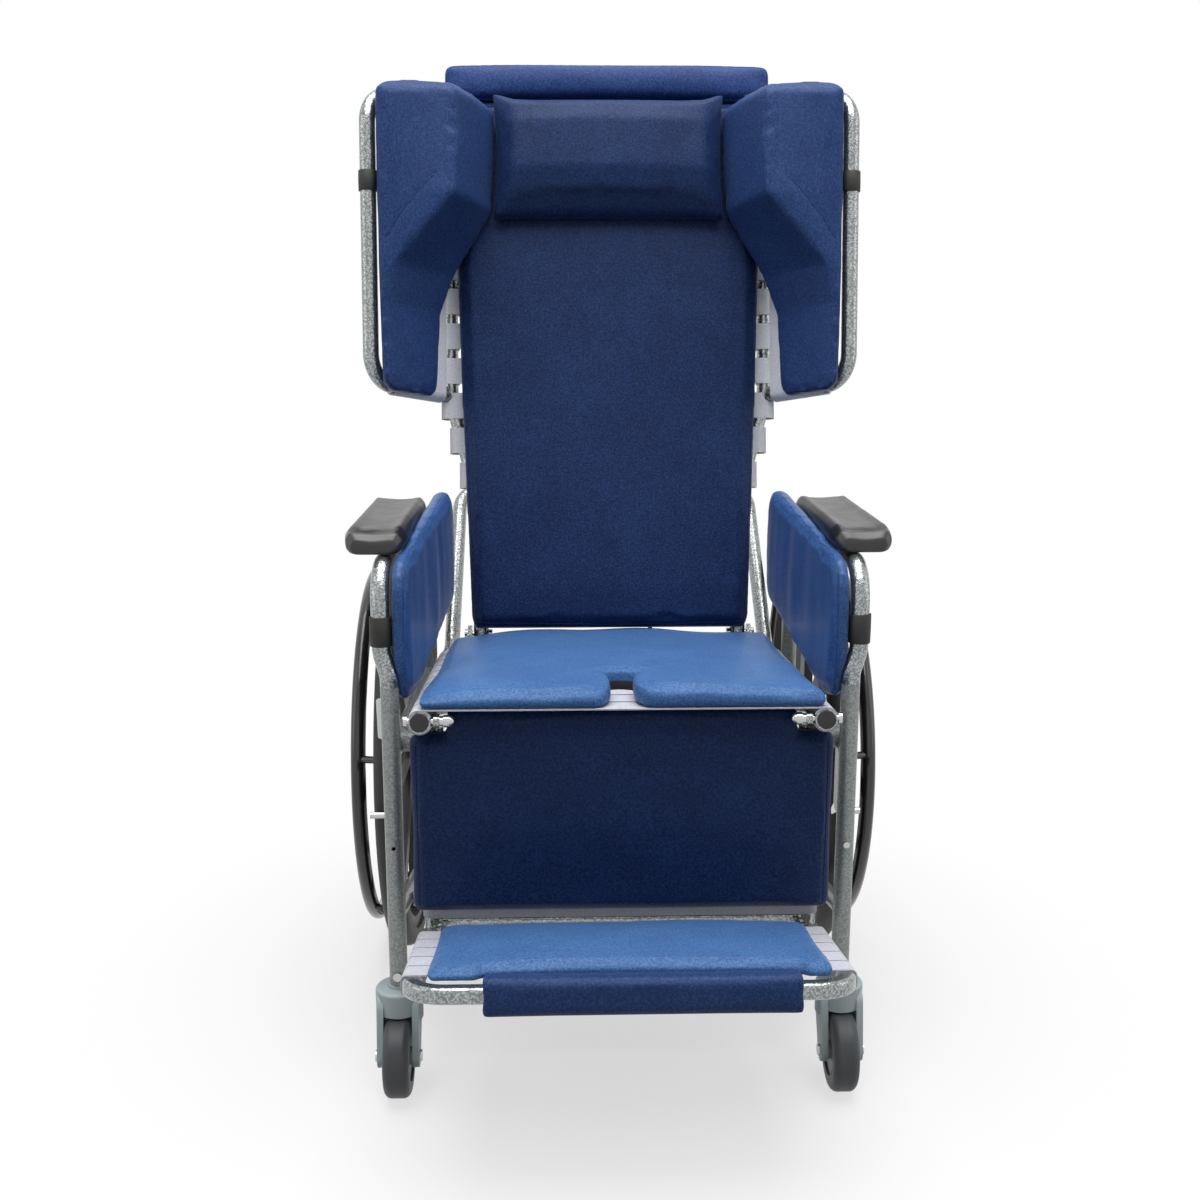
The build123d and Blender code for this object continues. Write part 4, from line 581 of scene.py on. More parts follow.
# ---- stuffed pieces ------------------------------------------------------------------------------
@dataclass
class Stuffed:
    """A cushion or pad: its CAD solid, taken smaller, blown up as cloth, and given its folds and seams."""

    node: str
    body: str
    finish: Finish
    slot: str
    plane: Lean
    rests: list[tuple[float, float, float]]     # local directions of the sides that lie on something
    voxel: float = 5.0          # edge of the even mesh, in mm
    shrink: float = 0.8         # how far the free sides are drawn in before they swell, in mm
    cap: float = 4.2            # most that a point may swell outwards, in mm
    drift: float = 1.5          # most that it may slide along the surface, in mm
    pressure: float = 4.0
    frames: int = 20            # length of the cloth run
    smooth: int = 3             # rounds of smoothing before the cloth
    settle: int = 0             # rounds of smoothing after the folds
    fill: float = 0.75
    proud_low: tuple[float, float, float] = (0.0, 0.0, 0.0)     # how far the cover leaves the solid's box
    proud_high: tuple[float, float, float] = (0.0, 0.0, 0.0)

    def build(self) -> bpy.types.Object:
        """Make the piece: remesh, soften, blow up, subdivide, fold, settle, fit and seam.

        Returns:
            The finished object, riding on its body and standing for its CAD node.
        """
        piece = self.skin()
        self.blow_up(piece)
        self.subdivide(piece)
        local = self.plane.local(verts_of(piece.data))
        local = local + self.folds(local, normals_of(piece.data))
        put_verts(piece.data, self.plane.world(local))
        if self.settle:
            self.soften(piece, self.settle)
        mesh = piece.data
        put_verts(mesh, self.plane.world(self.fit(self.plane.local(verts_of(mesh)))))
        self.crease(piece)
        mesh.polygons.foreach_set("use_smooth", np.ones(len(mesh.polygons), bool))
        mesh.materials.clear()
        mesh.materials.append(self.finish.material())
        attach(piece, self.body)
        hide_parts(self.node)
        LOG.info("%s: %d points", piece.name, len(mesh.vertices))
        return piece

    def skin(self) -> bpy.types.Object:
        """Copy the CAD solid, merge and remesh it evenly, soften it, and draw in its free sides.

        Returns:
            The cover before it swells.
        """
        mesh = frame["nodes"][self.node].data.copy()
        mesh.name = f"{self.node}_cover"
        piece = bpy.data.objects.new(f"{self.node}_cover", mesh)
        bpy.context.scene.collection.objects.link(piece)
        outward(piece)
        remesh = piece.modifiers.new("even", "REMESH")
        remesh.mode = "VOXEL"
        remesh.voxel_size = self.voxel * MM
        self.soften(piece, self.smooth)
        mesh = piece.data
        points, normals = verts_of(mesh), normals_of(mesh)
        put_verts(mesh, points - normals * (self.free(normals) * self.shrink * MM)[:, None])
        return piece

    def free(self, normals: np.ndarray) -> np.ndarray:
        """Find where the surface is free to swell: it isn't where it faces a side that lies on something.

        Args:
            normals: the surface's normals.

        Returns:
            1 where the surface is free, falling to 0 where it is held.
        """
        held = np.zeros(len(normals))
        for way in self.rests:
            held = np.maximum(held, smoothstep(normals @ self.plane.turned(way), 0.45, 0.8))
        return 1 - held

    def soften(self, piece: bpy.types.Object, rounds: int) -> None:
        """Smooth the piece by some rounds and apply all its modifiers.

        Args:
            piece: the cover.
            rounds: how many rounds of smoothing.
        """
        soften = piece.modifiers.new("soften", "SMOOTH")
        soften.factor, soften.iterations = 0.5, rounds
        self.apply(piece)

    @staticmethod
    def apply(piece: bpy.types.Object) -> None:
        """Replace the piece's mesh by what its modifiers make of it.

        Args:
            piece: the cover.
        """
        graph = bpy.context.evaluated_depsgraph_get()
        made = bpy.data.meshes.new_from_object(piece.evaluated_get(graph))
        piece.modifiers.clear()
        piece.data = made

    def blow_up(self, piece: bpy.types.Object) -> None:
        """Run Blender's cloth under pressure with no gravity, and keep each point within its cap.

        A point may move out by its cap, in by a third of the drift, and along the surface by the drift, so
        that the piece keeps its outline while its faces fill.

        Args:
            piece: the cover.
        """
        before, normals = verts_of(piece.data), normals_of(piece.data)
        free = self.free(normals)
        cloth = piece.modifiers.new("cloth", "CLOTH")
        settings = cloth.settings
        settings.use_pressure = True
        settings.uniform_pressure_force = self.pressure
        settings.effector_weights.gravity = 0.0
        settings.quality = 4
        settings.tension_stiffness = settings.compression_stiffness = 12.0
        settings.bending_stiffness = 1.2
        cloth.collision_settings.use_collision = False
        cloth.point_cache.frame_start, cloth.point_cache.frame_end = 1, self.frames
        for step in range(1, self.frames + 1):
            bpy.context.scene.frame_set(step)
        graph = bpy.context.evaluated_depsgraph_get()
        after = verts_of(piece.evaluated_get(graph).data)
        piece.modifiers.clear()
        bpy.context.scene.frame_set(1)
        move = after - before
        outward_move = (move * normals).sum(1, keepdims=True)
        along = move - normals * outward_move
        length = np.linalg.norm(along, axis=1, keepdims=True) + TINY
        along *= np.minimum(1, self.drift * MM / length)
        kept = normals * np.clip(outward_move, -self.drift * MM / 3, self.cap * MM) + along
        put_verts(piece.data, before + kept * free[:, None])

    def subdivide(self, piece: bpy.types.Object) -> None:
        """Subdivide the piece once.

        Args:
            piece: the cover.
        """
        finer = piece.modifiers.new("finer", "SUBSURF")
        finer.levels = finer.render_levels = 1
        self.apply(piece)

    def folds(self, local: np.ndarray, normals: np.ndarray) -> np.ndarray:
        """Moves for the piece's own waves, ears and hollows; none unless a piece has them."""
        return np.zeros_like(local)

    def fit(self, local: np.ndarray) -> np.ndarray:
        """Stretch the cover evenly until its box is the solid's, let out by what it stands proud.

        Args:
            local: the cover's points in local millimetres.

        Returns:
            The stretched points.
        """
        solid = self.plane.local(verts_of(frame["nodes"][self.node].data))
        low, high = solid.min(0) - self.proud_low, solid.max(0) + self.proud_high
        start, stop = local.min(0), local.max(0)
        return low + (local - start) / (stop - start) * (high - low)

    def seams(self) -> list["Seam"]:
        """The sewn lines of the piece; none unless a piece has them."""
        return []

    def crease(self, piece: bpy.types.Object) -> None:
        """Press each seam's valley into the surface and lay its welt in it.

        A point at a distance d from the path moves inward by depth * exp(-(d / reach)^2), plus puckers that
        follow the sine of the way along the seam and fade by exp(-(d / fade)^2).

        Args:
            piece: the cover.
        """
        for number, seam in enumerate(self.seams()):
            points, normals = verts_of(piece.data), normals_of(piece.data)
            way = self.plane.world(resample(seam.path, seam.step, seam.closed))
            way, _ = cling(way, points, normals)
            distance, near = nearest(points, way)
            puckers = (seam.pucker * np.sin(2 * np.pi * near * seam.step / seam.pucker_every)
                       * np.exp(-(distance / (seam.pucker_fade * MM)) ** 2))
            inward = seam.depth * np.exp(-(distance / (seam.reach * MM)) ** 2) + puckers
            put_verts(piece.data, points - normals * (inward * MM)[:, None])
            points, normals = verts_of(piece.data), normals_of(piece.data)
            way, up = cling(way, points, normals)
            size = (seam.welt * MM, seam.flat * seam.welt * MM)
            cord = tube_along(f"{self.node}_piping_{number + 1}", way + up * seam.lift * seam.welt * MM, up,
                              size, self.finish, seam.closed, 8)
            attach(cord, self.body)


@dataclass(frozen=True)
class Seam:
    """A sewn line on a cover, with its valley and the welt that stands in it; all in millimetres."""

    path: np.ndarray            # corner points in local millimetres
    closed: bool = False
    depth: float = 0.8          # of the valley along it
    welt: float = 1.0           # half width of the welt
    pucker: float = 0.12        # height of the puckers
    step: float = 3.0           # between the points of the seam
    reach: float = 4.0          # half width of the valley
    pucker_every: float = 16.0
    pucker_fade: float = 12.0
    flat: float = 0.8           # the welt's height as a share of its width
    lift: float = 0.25          # how far the welt stands up, as a share of its half width


def resample(path: np.ndarray, step: float, closed: bool) -> np.ndarray:
    """Even points along a path, one every step.

    Args:
        path: corner points.
        step: spacing in the path's own unit.
        closed: whether the last point joins the first.

    Returns:
        The evenly spaced points.
    """
    whole = np.vstack([path, path[:1]]) if closed else path
    lengths = np.concatenate([[0], np.cumsum(np.linalg.norm(np.diff(whole, axis=0), axis=1))])
    count = max(int(lengths[-1] / step), 4)
    places = np.linspace(0, lengths[-1], count, endpoint=not closed)
    return np.stack([np.interp(places, lengths, whole[:, k]) for k in range(3)], -1)


def nearest(points: np.ndarray, path: np.ndarray) -> tuple[np.ndarray, np.ndarray]:
    """Find the nearest path point to each point, in blocks of the path to spare memory.

    Args:
        points: the surface's points.
        path: the path's points.

    Returns:
        Each point's distance, and the nearest path point's number.
    """
    best = np.full(len(points), np.inf)
    number = np.zeros(len(points), int)
    block = 64
    for start in range(0, len(path), block):
        part = path[start:start + block]
        square = (points ** 2).sum(1)[:, None] + (part ** 2).sum(1)[None] - 2 * points @ part.T
        least = square.argmin(1)
        value = square[np.arange(len(points)), least]
        closer = value < best
        best[closer], number[closer] = value[closer], least[closer] + start
    return np.sqrt(np.maximum(best, 0)), number


def cling(path: np.ndarray, points: np.ndarray, normals: np.ndarray) -> tuple[np.ndarray, np.ndarray]:
    """Move a path onto a surface.

    Each point becomes the mean of its 8 nearest surface points, weighted by one over the squared distance.

    Args:
        path: points near the surface.
        points: the surface's points.
        normals: the surface's normals.

    Returns:
        The path on the surface, and the surface's normal at each of its points.
    """
    few = 8
    square = (path ** 2).sum(1)[:, None] + (points ** 2).sum(1)[None] - 2 * path @ points.T
    close = np.argpartition(square, few, axis=1)[:, :few]
    weight = 1 / (np.take_along_axis(np.maximum(square, 0), close, 1) + 1e-6)
    weight /= weight.sum(1, keepdims=True)
    place = (points[close] * weight[..., None]).sum(1)
    up = (normals[close] * weight[..., None]).sum(1)
    up /= np.linalg.norm(up, axis=1, keepdims=True) + TINY
    return place, up


def rounded_loop(half: float, low: float, high: float, level: float, corner: float) -> np.ndarray:
    """Rectangle with rounded corners in a plane's (x, rise), at one depth along its run.

    A corner is its middle plus the radius times (cos a, sin a) over a quarter turn.

    Args:
        half: half width across the chair.
        low: foot of the loop.
        high: top of the loop.
        level: the loop's place along the run.
        corner: corner radius.

    Returns:
        Closed loop of points in local millimetres.
    """
    count = 7
    turn = np.linspace(0, np.pi / 2, count)
    arcs = []
    for k, (x, z) in enumerate(((half, high), (-half, high), (-half, low), (half, low))):
        middle = (x - math.copysign(corner, x), z - (corner if z == high else -corner))
        angle = turn + k * np.pi / 2
        arcs.append(np.stack([middle[0] + corner * np.cos(angle), np.full(count, level),
                              middle[1] + corner * np.sin(angle)], -1))
    return np.vstack(arcs)


@dataclass
class BackCushion(Stuffed):
    """Tall back cushion, narrower at its foot, sewn round its front edge."""

    seam_run: float = 9.0       # how far the seam lies behind the face

    def seams(self) -> list[Seam]:
        """Sew one loop round the side walls.

        Returns:
            The loop, up one wall and down the other.
        """
        rise = np.array([-10, 40, 300, 470, 690, 728])
        half = np.array([197, 200, 209, 216, 217, 214])
        right = np.stack([half, np.full(len(rise), self.seam_run), rise], -1)
        left = right[::-1] * (-1, 1, 1)
        return [Seam(np.vstack([right, left]), True, 1.0)]

    def folds(self, local: np.ndarray, normals: np.ndarray) -> np.ndarray:
        """Low slack swells on the face: sines of 0.9 and 0.5 mm, along the rise and aslant.

        Args:
            local: the cover's points in local millimetres.
            normals: not used.

        Returns:
            Each point's move.
        """
        x, run, rise = local[:, 0], local[:, 1], local[:, 2]
        move = np.zeros_like(local)
        face = smoothstep(-run, -12, 2)
        move[:, 1] = -face * (0.9 * np.sin(rise / 61 + 0.8 * np.sin(x / 120))
                              + 0.5 * np.sin(x / 47 + rise / 90))
        return move


@dataclass
class TopPad(Stuffed):
    """Flat headrest band over the top of the back."""

    def seams(self) -> list[Seam]:
        """A loop round the edge behind the face."""
        return [Seam(rounded_loop(232, 740, 790, 12, 8), True)]


@dataclass
class HeadPillow(Stuffed):
    """Head pillow, smaller at its front, with two ears where the cover's top corners stand free."""

    half: float = 157.0
    foot: float = 560.0
    top: float = 730.0
    front_inset: float = 0.115      # how much narrower the front face is than the back
    foot_lift: float = 27.0         # how much higher the front face's foot is than the back's
    ear_rise: float = 9.0

    def folds(self, local: np.ndarray, normals: np.ndarray) -> np.ndarray:
        """Taper the pillow forwards, draw its top corners up, and let the top edge dip between them.

        With t from 0 at the back to 1 at the face and s from 0 at the foot to 1 at the top, x shrinks by the
        inset times t, and the height moves up by the lift times t (1 - s) and down by 3 mm times t s.

        Args:
            local: the cover's points in local millimetres.
            normals: not used.

        Returns:
            Each point's move.
        """
        x, run, rise = local[:, 0], local[:, 1], local[:, 2]
        out = np.abs(x) / self.half
        ahead = smoothstep(-run, 14, 60)
        share = np.clip((rise - self.foot) / (self.top - self.foot), 0, 1)
        near_top = smoothstep(rise, self.top - 50, self.top)
        ear = smoothstep(out, 0.82, 1.0) * near_top * (1 - 0.7 * ahead)
        dip = (1 - smoothstep(out, 0.6, 0.92)) * near_top
        near_foot = 1 - smoothstep(rise, self.foot, self.foot + 48)
        move = np.zeros_like(local)
        move[:, 0] = -x * self.front_inset * ahead + np.sign(x) * 2.0 * ear
        move[:, 2] = (self.foot_lift * ahead * (1 - share) - 3 * ahead * share + self.ear_rise * ear - 2 * dip
                      - 2.5 * smoothstep(out, 0.8, 1.0) * near_foot * (1 - ahead))
        move[:, 1] = -1.2 * ahead * np.sin(rise / 23 + 0.6 * np.sin(x / 40)) * smoothstep(out, 0.55, 0.85)
        return move

    def seams(self) -> list[Seam]:
        """A closed seam round the back edge."""
        return [Seam(rounded_loop(157, 563, 731, -16, 12), True, 0.9, 0.9)]


@dataclass
class SeatCushion(Stuffed):
    """Thin seat cushion with a wavy top, a keyhole notch and sides that pull in between the corners."""

    length: float = 444.0
    pull: float = 1.5               # of each side's middle inwards
    seam_rise: float = 13.0
    keyhole_run: float = 94.0       # middle of the keyhole's round end
    # the sheet of painted shade in the keyhole's round end: its foot, top, radii and span of angles
    shade_sheet_foot: float = 5.0
    shade_sheet_top: float = 25.5
    shade_sheet_radius: tuple[float, float] = (20.6, 22.8)
    shade_sheet_turn: tuple[float, float] = (-38.0, 218.0)

    def folds(self, local: np.ndarray, normals: np.ndarray) -> np.ndarray:
        """Long low waves on top that grow towards the edges, a wavier front lip, and the pull of the sides.

        The waves are sines of 1.5, 1.2 and 0.9 mm that cross each other; the lip's sine is 1.4 mm high; the
        pull follows half a sine along the side.

        Args:
            local: the cover's points in local millimetres.
            normals: not used.

        Returns:
            Each point's move.
        """
        x, run, rise = local[:, 0], local[:, 1], local[:, 2]
        top = smoothstep(rise, 20, 30)
        near_front = 1 - smoothstep(run, 10, 70)
        edge = np.maximum(smoothstep(np.abs(x), 130, 225), np.maximum(near_front, smoothstep(run, 350, 440)))
        waves = (1.5 * np.sin(x / 27 + 0.9 * np.sin(run / 70)) + 1.2 * np.sin(run / 31 + x / 140)
                 + 0.9 * np.sin(x / 61 - run / 45))
        lip = 1.4 * np.sin(x / 15.5 + 1.6 * np.sin(x / 41)) * near_front
        move = np.zeros_like(local)
        move[:, 2] = top * (waves * (0.35 + 0.8 * edge) + lip)
        share = np.clip(run / self.length, 0, 1)
        move[:, 0] = -np.sign(x) * self.pull * np.sin(np.pi * share) * smoothstep(np.abs(x), 150, 230)
        return move

    def seams(self) -> list[Seam]:
        """Sew each half of the front and its side, low on the edge.

        Returns:
            The right and left seams.
        """
        corners = [(229, 440), (231, 12), (222, 3), (32, 3)]
        right = np.array([(x, run, self.seam_rise) for x, run in corners], float)
        return [Seam(right * (way, 1, 1), depth=0.5, welt=0.8) for way in (1, -1)]

    def crease(self, piece: bpy.types.Object) -> None:
        """Sew the edges, and line the round end of the keyhole with a near-black sheet of painted shade,
        where the hole's wall lies in shadow.

        The sheet is an upright band: at the angle a it stands at the keyhole's middle plus the radius times
        (cos a, sin a), and its top edge is rounded.

        Args:
            piece: the cover.
        """
        super().crease(piece)
        # a near-black band of painted shade where the keyhole's wall is in shadow
        count = 40
        turn = np.radians(np.linspace(*self.shade_sheet_turn, count))[:, None]
        near, far = self.shade_sheet_radius
        radius = np.array([near, far, far, far - 1.2, near])
        rise = np.array([self.shade_sheet_foot, self.shade_sheet_foot, self.shade_sheet_top - 1, self.shade_sheet_top,
                         self.shade_sheet_top - 1])
        ring = np.stack([np.cos(turn) * radius, self.keyhole_run + np.sin(turn) * radius,
                         np.repeat(rise[None], count, 0)], -1)
        points = self.plane.world(ring).reshape(-1, 3)
        faces = grid_faces(count, len(rise), True, Ends.CAPPED)
        shade_sheet = outward(mesh_object("keyhole_shade_sheet", points, faces, KEYHOLE_PAINTED_SHADE))
        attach(shade_sheet, self.body)


@dataclass
class CalfPad(Stuffed):
    """Nearly flat calf pad with a sewn edge down each side."""

    foot: float = 256.0
    top: float = 466.0
    seam_half: float = 242.0
    seam_run: float = 16.0

    def seams(self) -> list[Seam]:
        """Sew an upright line at each side of the face.

        Returns:
            The two seams.
        """
        count = 12
        rise = np.linspace(self.foot, self.top, count)
        run = np.full(count, self.seam_run)
        return [Seam(np.stack([np.full(count, side * self.seam_half), run, rise], -1), depth=0.8, welt=0.7)
                for side in (-1, 1)]

    def folds(self, local: np.ndarray, normals: np.ndarray) -> np.ndarray:
        """One slow wave of 1.2 mm up the face, and slack of 0.7 mm aslant over it.

        Args:
            local: the cover's points in local millimetres.
            normals: not used.

        Returns:
            Each point's move.
        """
        x, run, rise = local[:, 0], local[:, 1], local[:, 2]
        face = 1 - smoothstep(run, 16, 30)
        move = np.zeros_like(local)
        move[:, 1] = face * (1.2 * np.cos((rise - self.foot) / 212 * 2 * np.pi)
                             + 0.7 * np.sin(x / 55 + rise / 80))
        return move


@dataclass
class FootPad(Stuffed):
    """Foot board pad with full, rounded edges."""

    front: float = 212.0        # how far the pad's front lies ahead of the plane's origin
    depth: float = 178.0
    reach: float = 8.0          # how much further forward the pad goes past the roll's ends
    pull: float = 2.0           # of each end's middle inwards
    seam_rise: float = 15.5

    def folds(self, local: np.ndarray, normals: np.ndarray) -> np.ndarray:
        """Low waves of 0.8 and 0.6 mm on the top, the pull of the ends, and the reach beside the roll.

        Args:
            local: the cover's points in local millimetres.
            normals: not used.

        Returns:
            Each point's move.
        """
        x, run, rise = local[:, 0], local[:, 1], local[:, 2]
        top = smoothstep(rise, 14, 23)
        past_roll = np.maximum(smoothstep(-x, 150, 162), smoothstep(x, 174, 186))
        share = np.clip((run + self.front) / self.depth, 0, 1)
        move = np.zeros_like(local)
        move[:, 0] = -np.sign(x) * self.pull * np.sin(np.pi * share) * smoothstep(np.abs(x), 150, 209)
        move[:, 1] = -self.reach * smoothstep(-run, 180, self.front) * past_roll
        move[:, 2] = top * (0.8 * np.sin(x / 44 + run / 60) + 0.6 * np.sin(run / 23 - x / 90))
        return move

    def seams(self) -> list[Seam]:
        """Sew a loop round the edge, low down.

        Returns:
            The loop.
        """
        flat = rounded_loop(211, -211, -35, 0, 12)
        path = np.stack([flat[:, 0], flat[:, 2], np.full(len(flat), self.seam_rise)], -1)
        return [Seam(path, True, 0.4, 0.7)]


@dataclass
class WingCushion(Stuffed):
    """Wing pad with a crease beside its ridge, a dart across its face and a seam down its outer edge."""

    side: int = 1

    def seams(self) -> list[Seam]:
        """Sew the dart across the front face, and the outer edge from the top to the foot.

        Returns:
            The two seams.
        """
        dart = np.array([(238, -114, 592), (262, -108, 566), (282, -104, 540), (299, -100, 512)], float)
        outer = np.array([(309, -90, 712), (313, -82, 640), (312, -74, 540), (311, -64, 430),
                          (308, -58, 330)], float)
        return [Seam(dart * (self.side, 1, 1), depth=0.7, welt=0.55, pucker=0.0),
                Seam(outer * (self.side, 1, 1), depth=0.7, welt=0.9)]

    def folds(self, local: np.ndarray, normals: np.ndarray) -> np.ndarray:
        """A crease of 1.8 mm beside the ridge in a soft hollow of 0.8 mm, and slack of 0.4 mm.

        Both are exp(-(d / w)^2) of the distance d across from their middle, and fade out below the ridge.

        Args:
            local: the cover's points in local millimetres.
            normals: not used.

        Returns:
            Each point's move.
        """
        x, run, rise = local[:, 0] * self.side, local[:, 1], local[:, 2]
        front = smoothstep(-run, 60, 100)
        hollow = 0.8 * np.exp(-((x - 236) / 16) ** 2) + 1.8 * np.exp(-((x - 226) / 5) ** 2)
        hollow *= smoothstep(rise, 560, 620)
        move = np.zeros_like(local)
        move[:, 1] = front * (hollow + 0.4 * np.sin(rise / 64 + x / 60))
        return move


@dataclass
class SidePanel(Stuffed):
    """Padded arm panel with upright flutes on its inner face and a welt along its front."""

    side: int = 1

    def folds(self, local: np.ndarray, normals: np.ndarray) -> np.ndarray:
        """Upright soft folds on the inner face, up to a millimetre either way, deeper towards the top.

        Args:
            local: the cover's points in local millimetres.
            normals: the cover's normals.

        Returns:
            Each point's move.
        """
        inner = smoothstep(-normals[:, 0] * self.side, 0.5, 0.9)
        run, rise = local[:, 1], local[:, 2]
        fade = smoothstep(run, 70, 110) * (1 - smoothstep(run, 380, 420))
        flutes = (0.35 * np.sin(run / 8.5 + 0.9 * np.sin(rise / 48 + run / 60)) * np.sin(run / 41 + 1)
                  + 0.6 * np.sin(run / 17 + rise / 70 + 0.8 * np.sin(run / 37)))
        move = np.zeros_like(local)
        move[:, 0] = self.side * inner * fade * flutes * (0.5 + 0.5 * smoothstep(rise, 500, 640))
        return move

    def seams(self) -> list[Seam]:
        """Sew one upright welt round the panel's front, bowed by 10 mm, and one along its top edge.

        Returns:
            The two seams.
        """
        count = 12
        rise = np.linspace(506, 652, count)
        front = np.stack([np.full(count, self.side * 251.0), 63 + 10 * ((rise - 579) / 73) ** 2, rise], -1)
        run = np.array([84, 120, 160, 210, 260, 310, 360, 395], float)
        height = np.array([668, 673, 677, 682, 687, 690, 694, 696], float)
        top = np.stack([self.side * (249 - 0.05 * (run - 84)), run, height], -1)
        return [Seam(front, depth=0.9, welt=0.9), Seam(top, depth=0.5, welt=0.7)]


@dataclass
class ArmPad(Stuffed):
    """Self-skinned foam arm pad with a moulded lip round its top."""

    side: int = 1
    middle: tuple[float, float] = (291.5, 260.0)    # out from the chair's middle, and along the run
    half: tuple[float, float] = (36.0, 157.0)
    lip: float = 0.8            # its height
    lip_inset: float = 7.0      # how far it lies in from the edge
    dish: float = 1.6

    def crease(self, piece: bpy.types.Object) -> None:
        """Raise the lip and dish the top inside it.

        With e the distance in from the edge, the lip is exp(-((e - inset) / 2.6 mm)^2).

        Args:
            piece: the cover.
        """
        local = self.plane.local(verts_of(piece.data))
        across = np.abs(local[:, 0] * self.side - self.middle[0]) - self.half[0]
        along = np.abs(local[:, 1] - self.middle[1]) - self.half[1]
        inside = -np.maximum(across, along)
        top = smoothstep(local[:, 2], 684, 690)
        local[:, 2] += top * (self.lip * np.exp(-((inside - self.lip_inset) / 2.6) ** 2)
                              - self.dish * smoothstep(inside, 8, 20))
        put_verts(piece.data, self.plane.world(local))


@dataclass
class RollCover(Stuffed):
    """Vinyl sleeve round the foot bar, with a lip seam along its top rear edge."""

    def seams(self) -> list[Seam]:
        """Sew the top rear edge of the sleeve.

        Returns:
            The one seam.
        """
        count = 20
        x = np.linspace(-150, 174, count)
        return [Seam(np.stack([x, np.full(count, -221.0), np.full(count, 19.0)], -1), depth=0.5, welt=0.8)]


# ---- small trim --------------------------------------------------------------------------------
@dataclass(frozen=True)
class Band:
    """A black elastic band round an upright tube."""

    name: str
    body: str
    start: tuple[float, float, float]   # local millimetres, middle of the tube at one edge of the band
    stop: tuple[float, float, float]
    plane: Lean
    tube: float = 22.2
    room: float = 0.15          # between the tube and the band
    reach: float = 1.9          # from the tube to the band's outside
    bevel: float = 0.4          # of its outer edges
    bulge: float = 0.2          # of its middle
    spokes: int = 48

    def build(self) -> bpy.types.Object:
        """Turn the band's profile round the tube: axis place + radius * (cos a * across + sin a * beside).

        Returns:
            The finished band.
        """
        start = self.plane.world(np.array(self.start, float))
        stop = self.plane.world(np.array(self.stop, float))
        length = np.linalg.norm(stop - start)
        axis = (stop - start) / length
        inner, outer = (self.tube / 2 + self.room) * MM, (self.tube / 2 + self.reach) * MM
        bevel, bulge = self.bevel * MM, self.bulge * MM
        profile = np.array([(inner, 0), (outer - bevel, 0), (outer, bevel), (outer + bulge, length / 2),
                            (outer, length - bevel), (outer - bevel, length), (inner, length)])
        across = np.cross(axis, (1.0, 0.0, 0.0))
        across /= np.linalg.norm(across)
        beside = np.cross(axis, across)
        turn = np.linspace(0, 2 * np.pi, self.spokes, endpoint=False)
        spoke = np.cos(turn)[:, None] * across + np.sin(turn)[:, None] * beside
        ring = start + profile[None, :, :1] * spoke[:, None] + profile[None, :, 1:] * axis
        faces = grid_faces(self.spokes, len(profile), True, Ends.JOINED)
        band = outward(mesh_object(self.name, ring.reshape(-1, 3), faces, BLACK_BAND))
        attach(band, self.body)
        return band


@dataclass(frozen=True)
class CadDress:
    """Finishes for the CAD nodes that keep their shape."""

    def build(self) -> None:
        """Give each node its own finish, or else the one of its record slot."""
        slots = {part["node"]: part["material_slot"] for part in frame["record"]["subparts"]}
        for name, piece in frame["nodes"].items():
            finish = NODE_FINISH.get(name, SLOT_FINISH[slots[name]])
            piece.data.materials.clear()
            piece.data.materials.append(finish.material())
            piece.data.polygons.foreach_set("material_index", np.zeros(len(piece.data.polygons), np.int32))
        LOG.info("dressed %d nodes", len(frame["nodes"]))


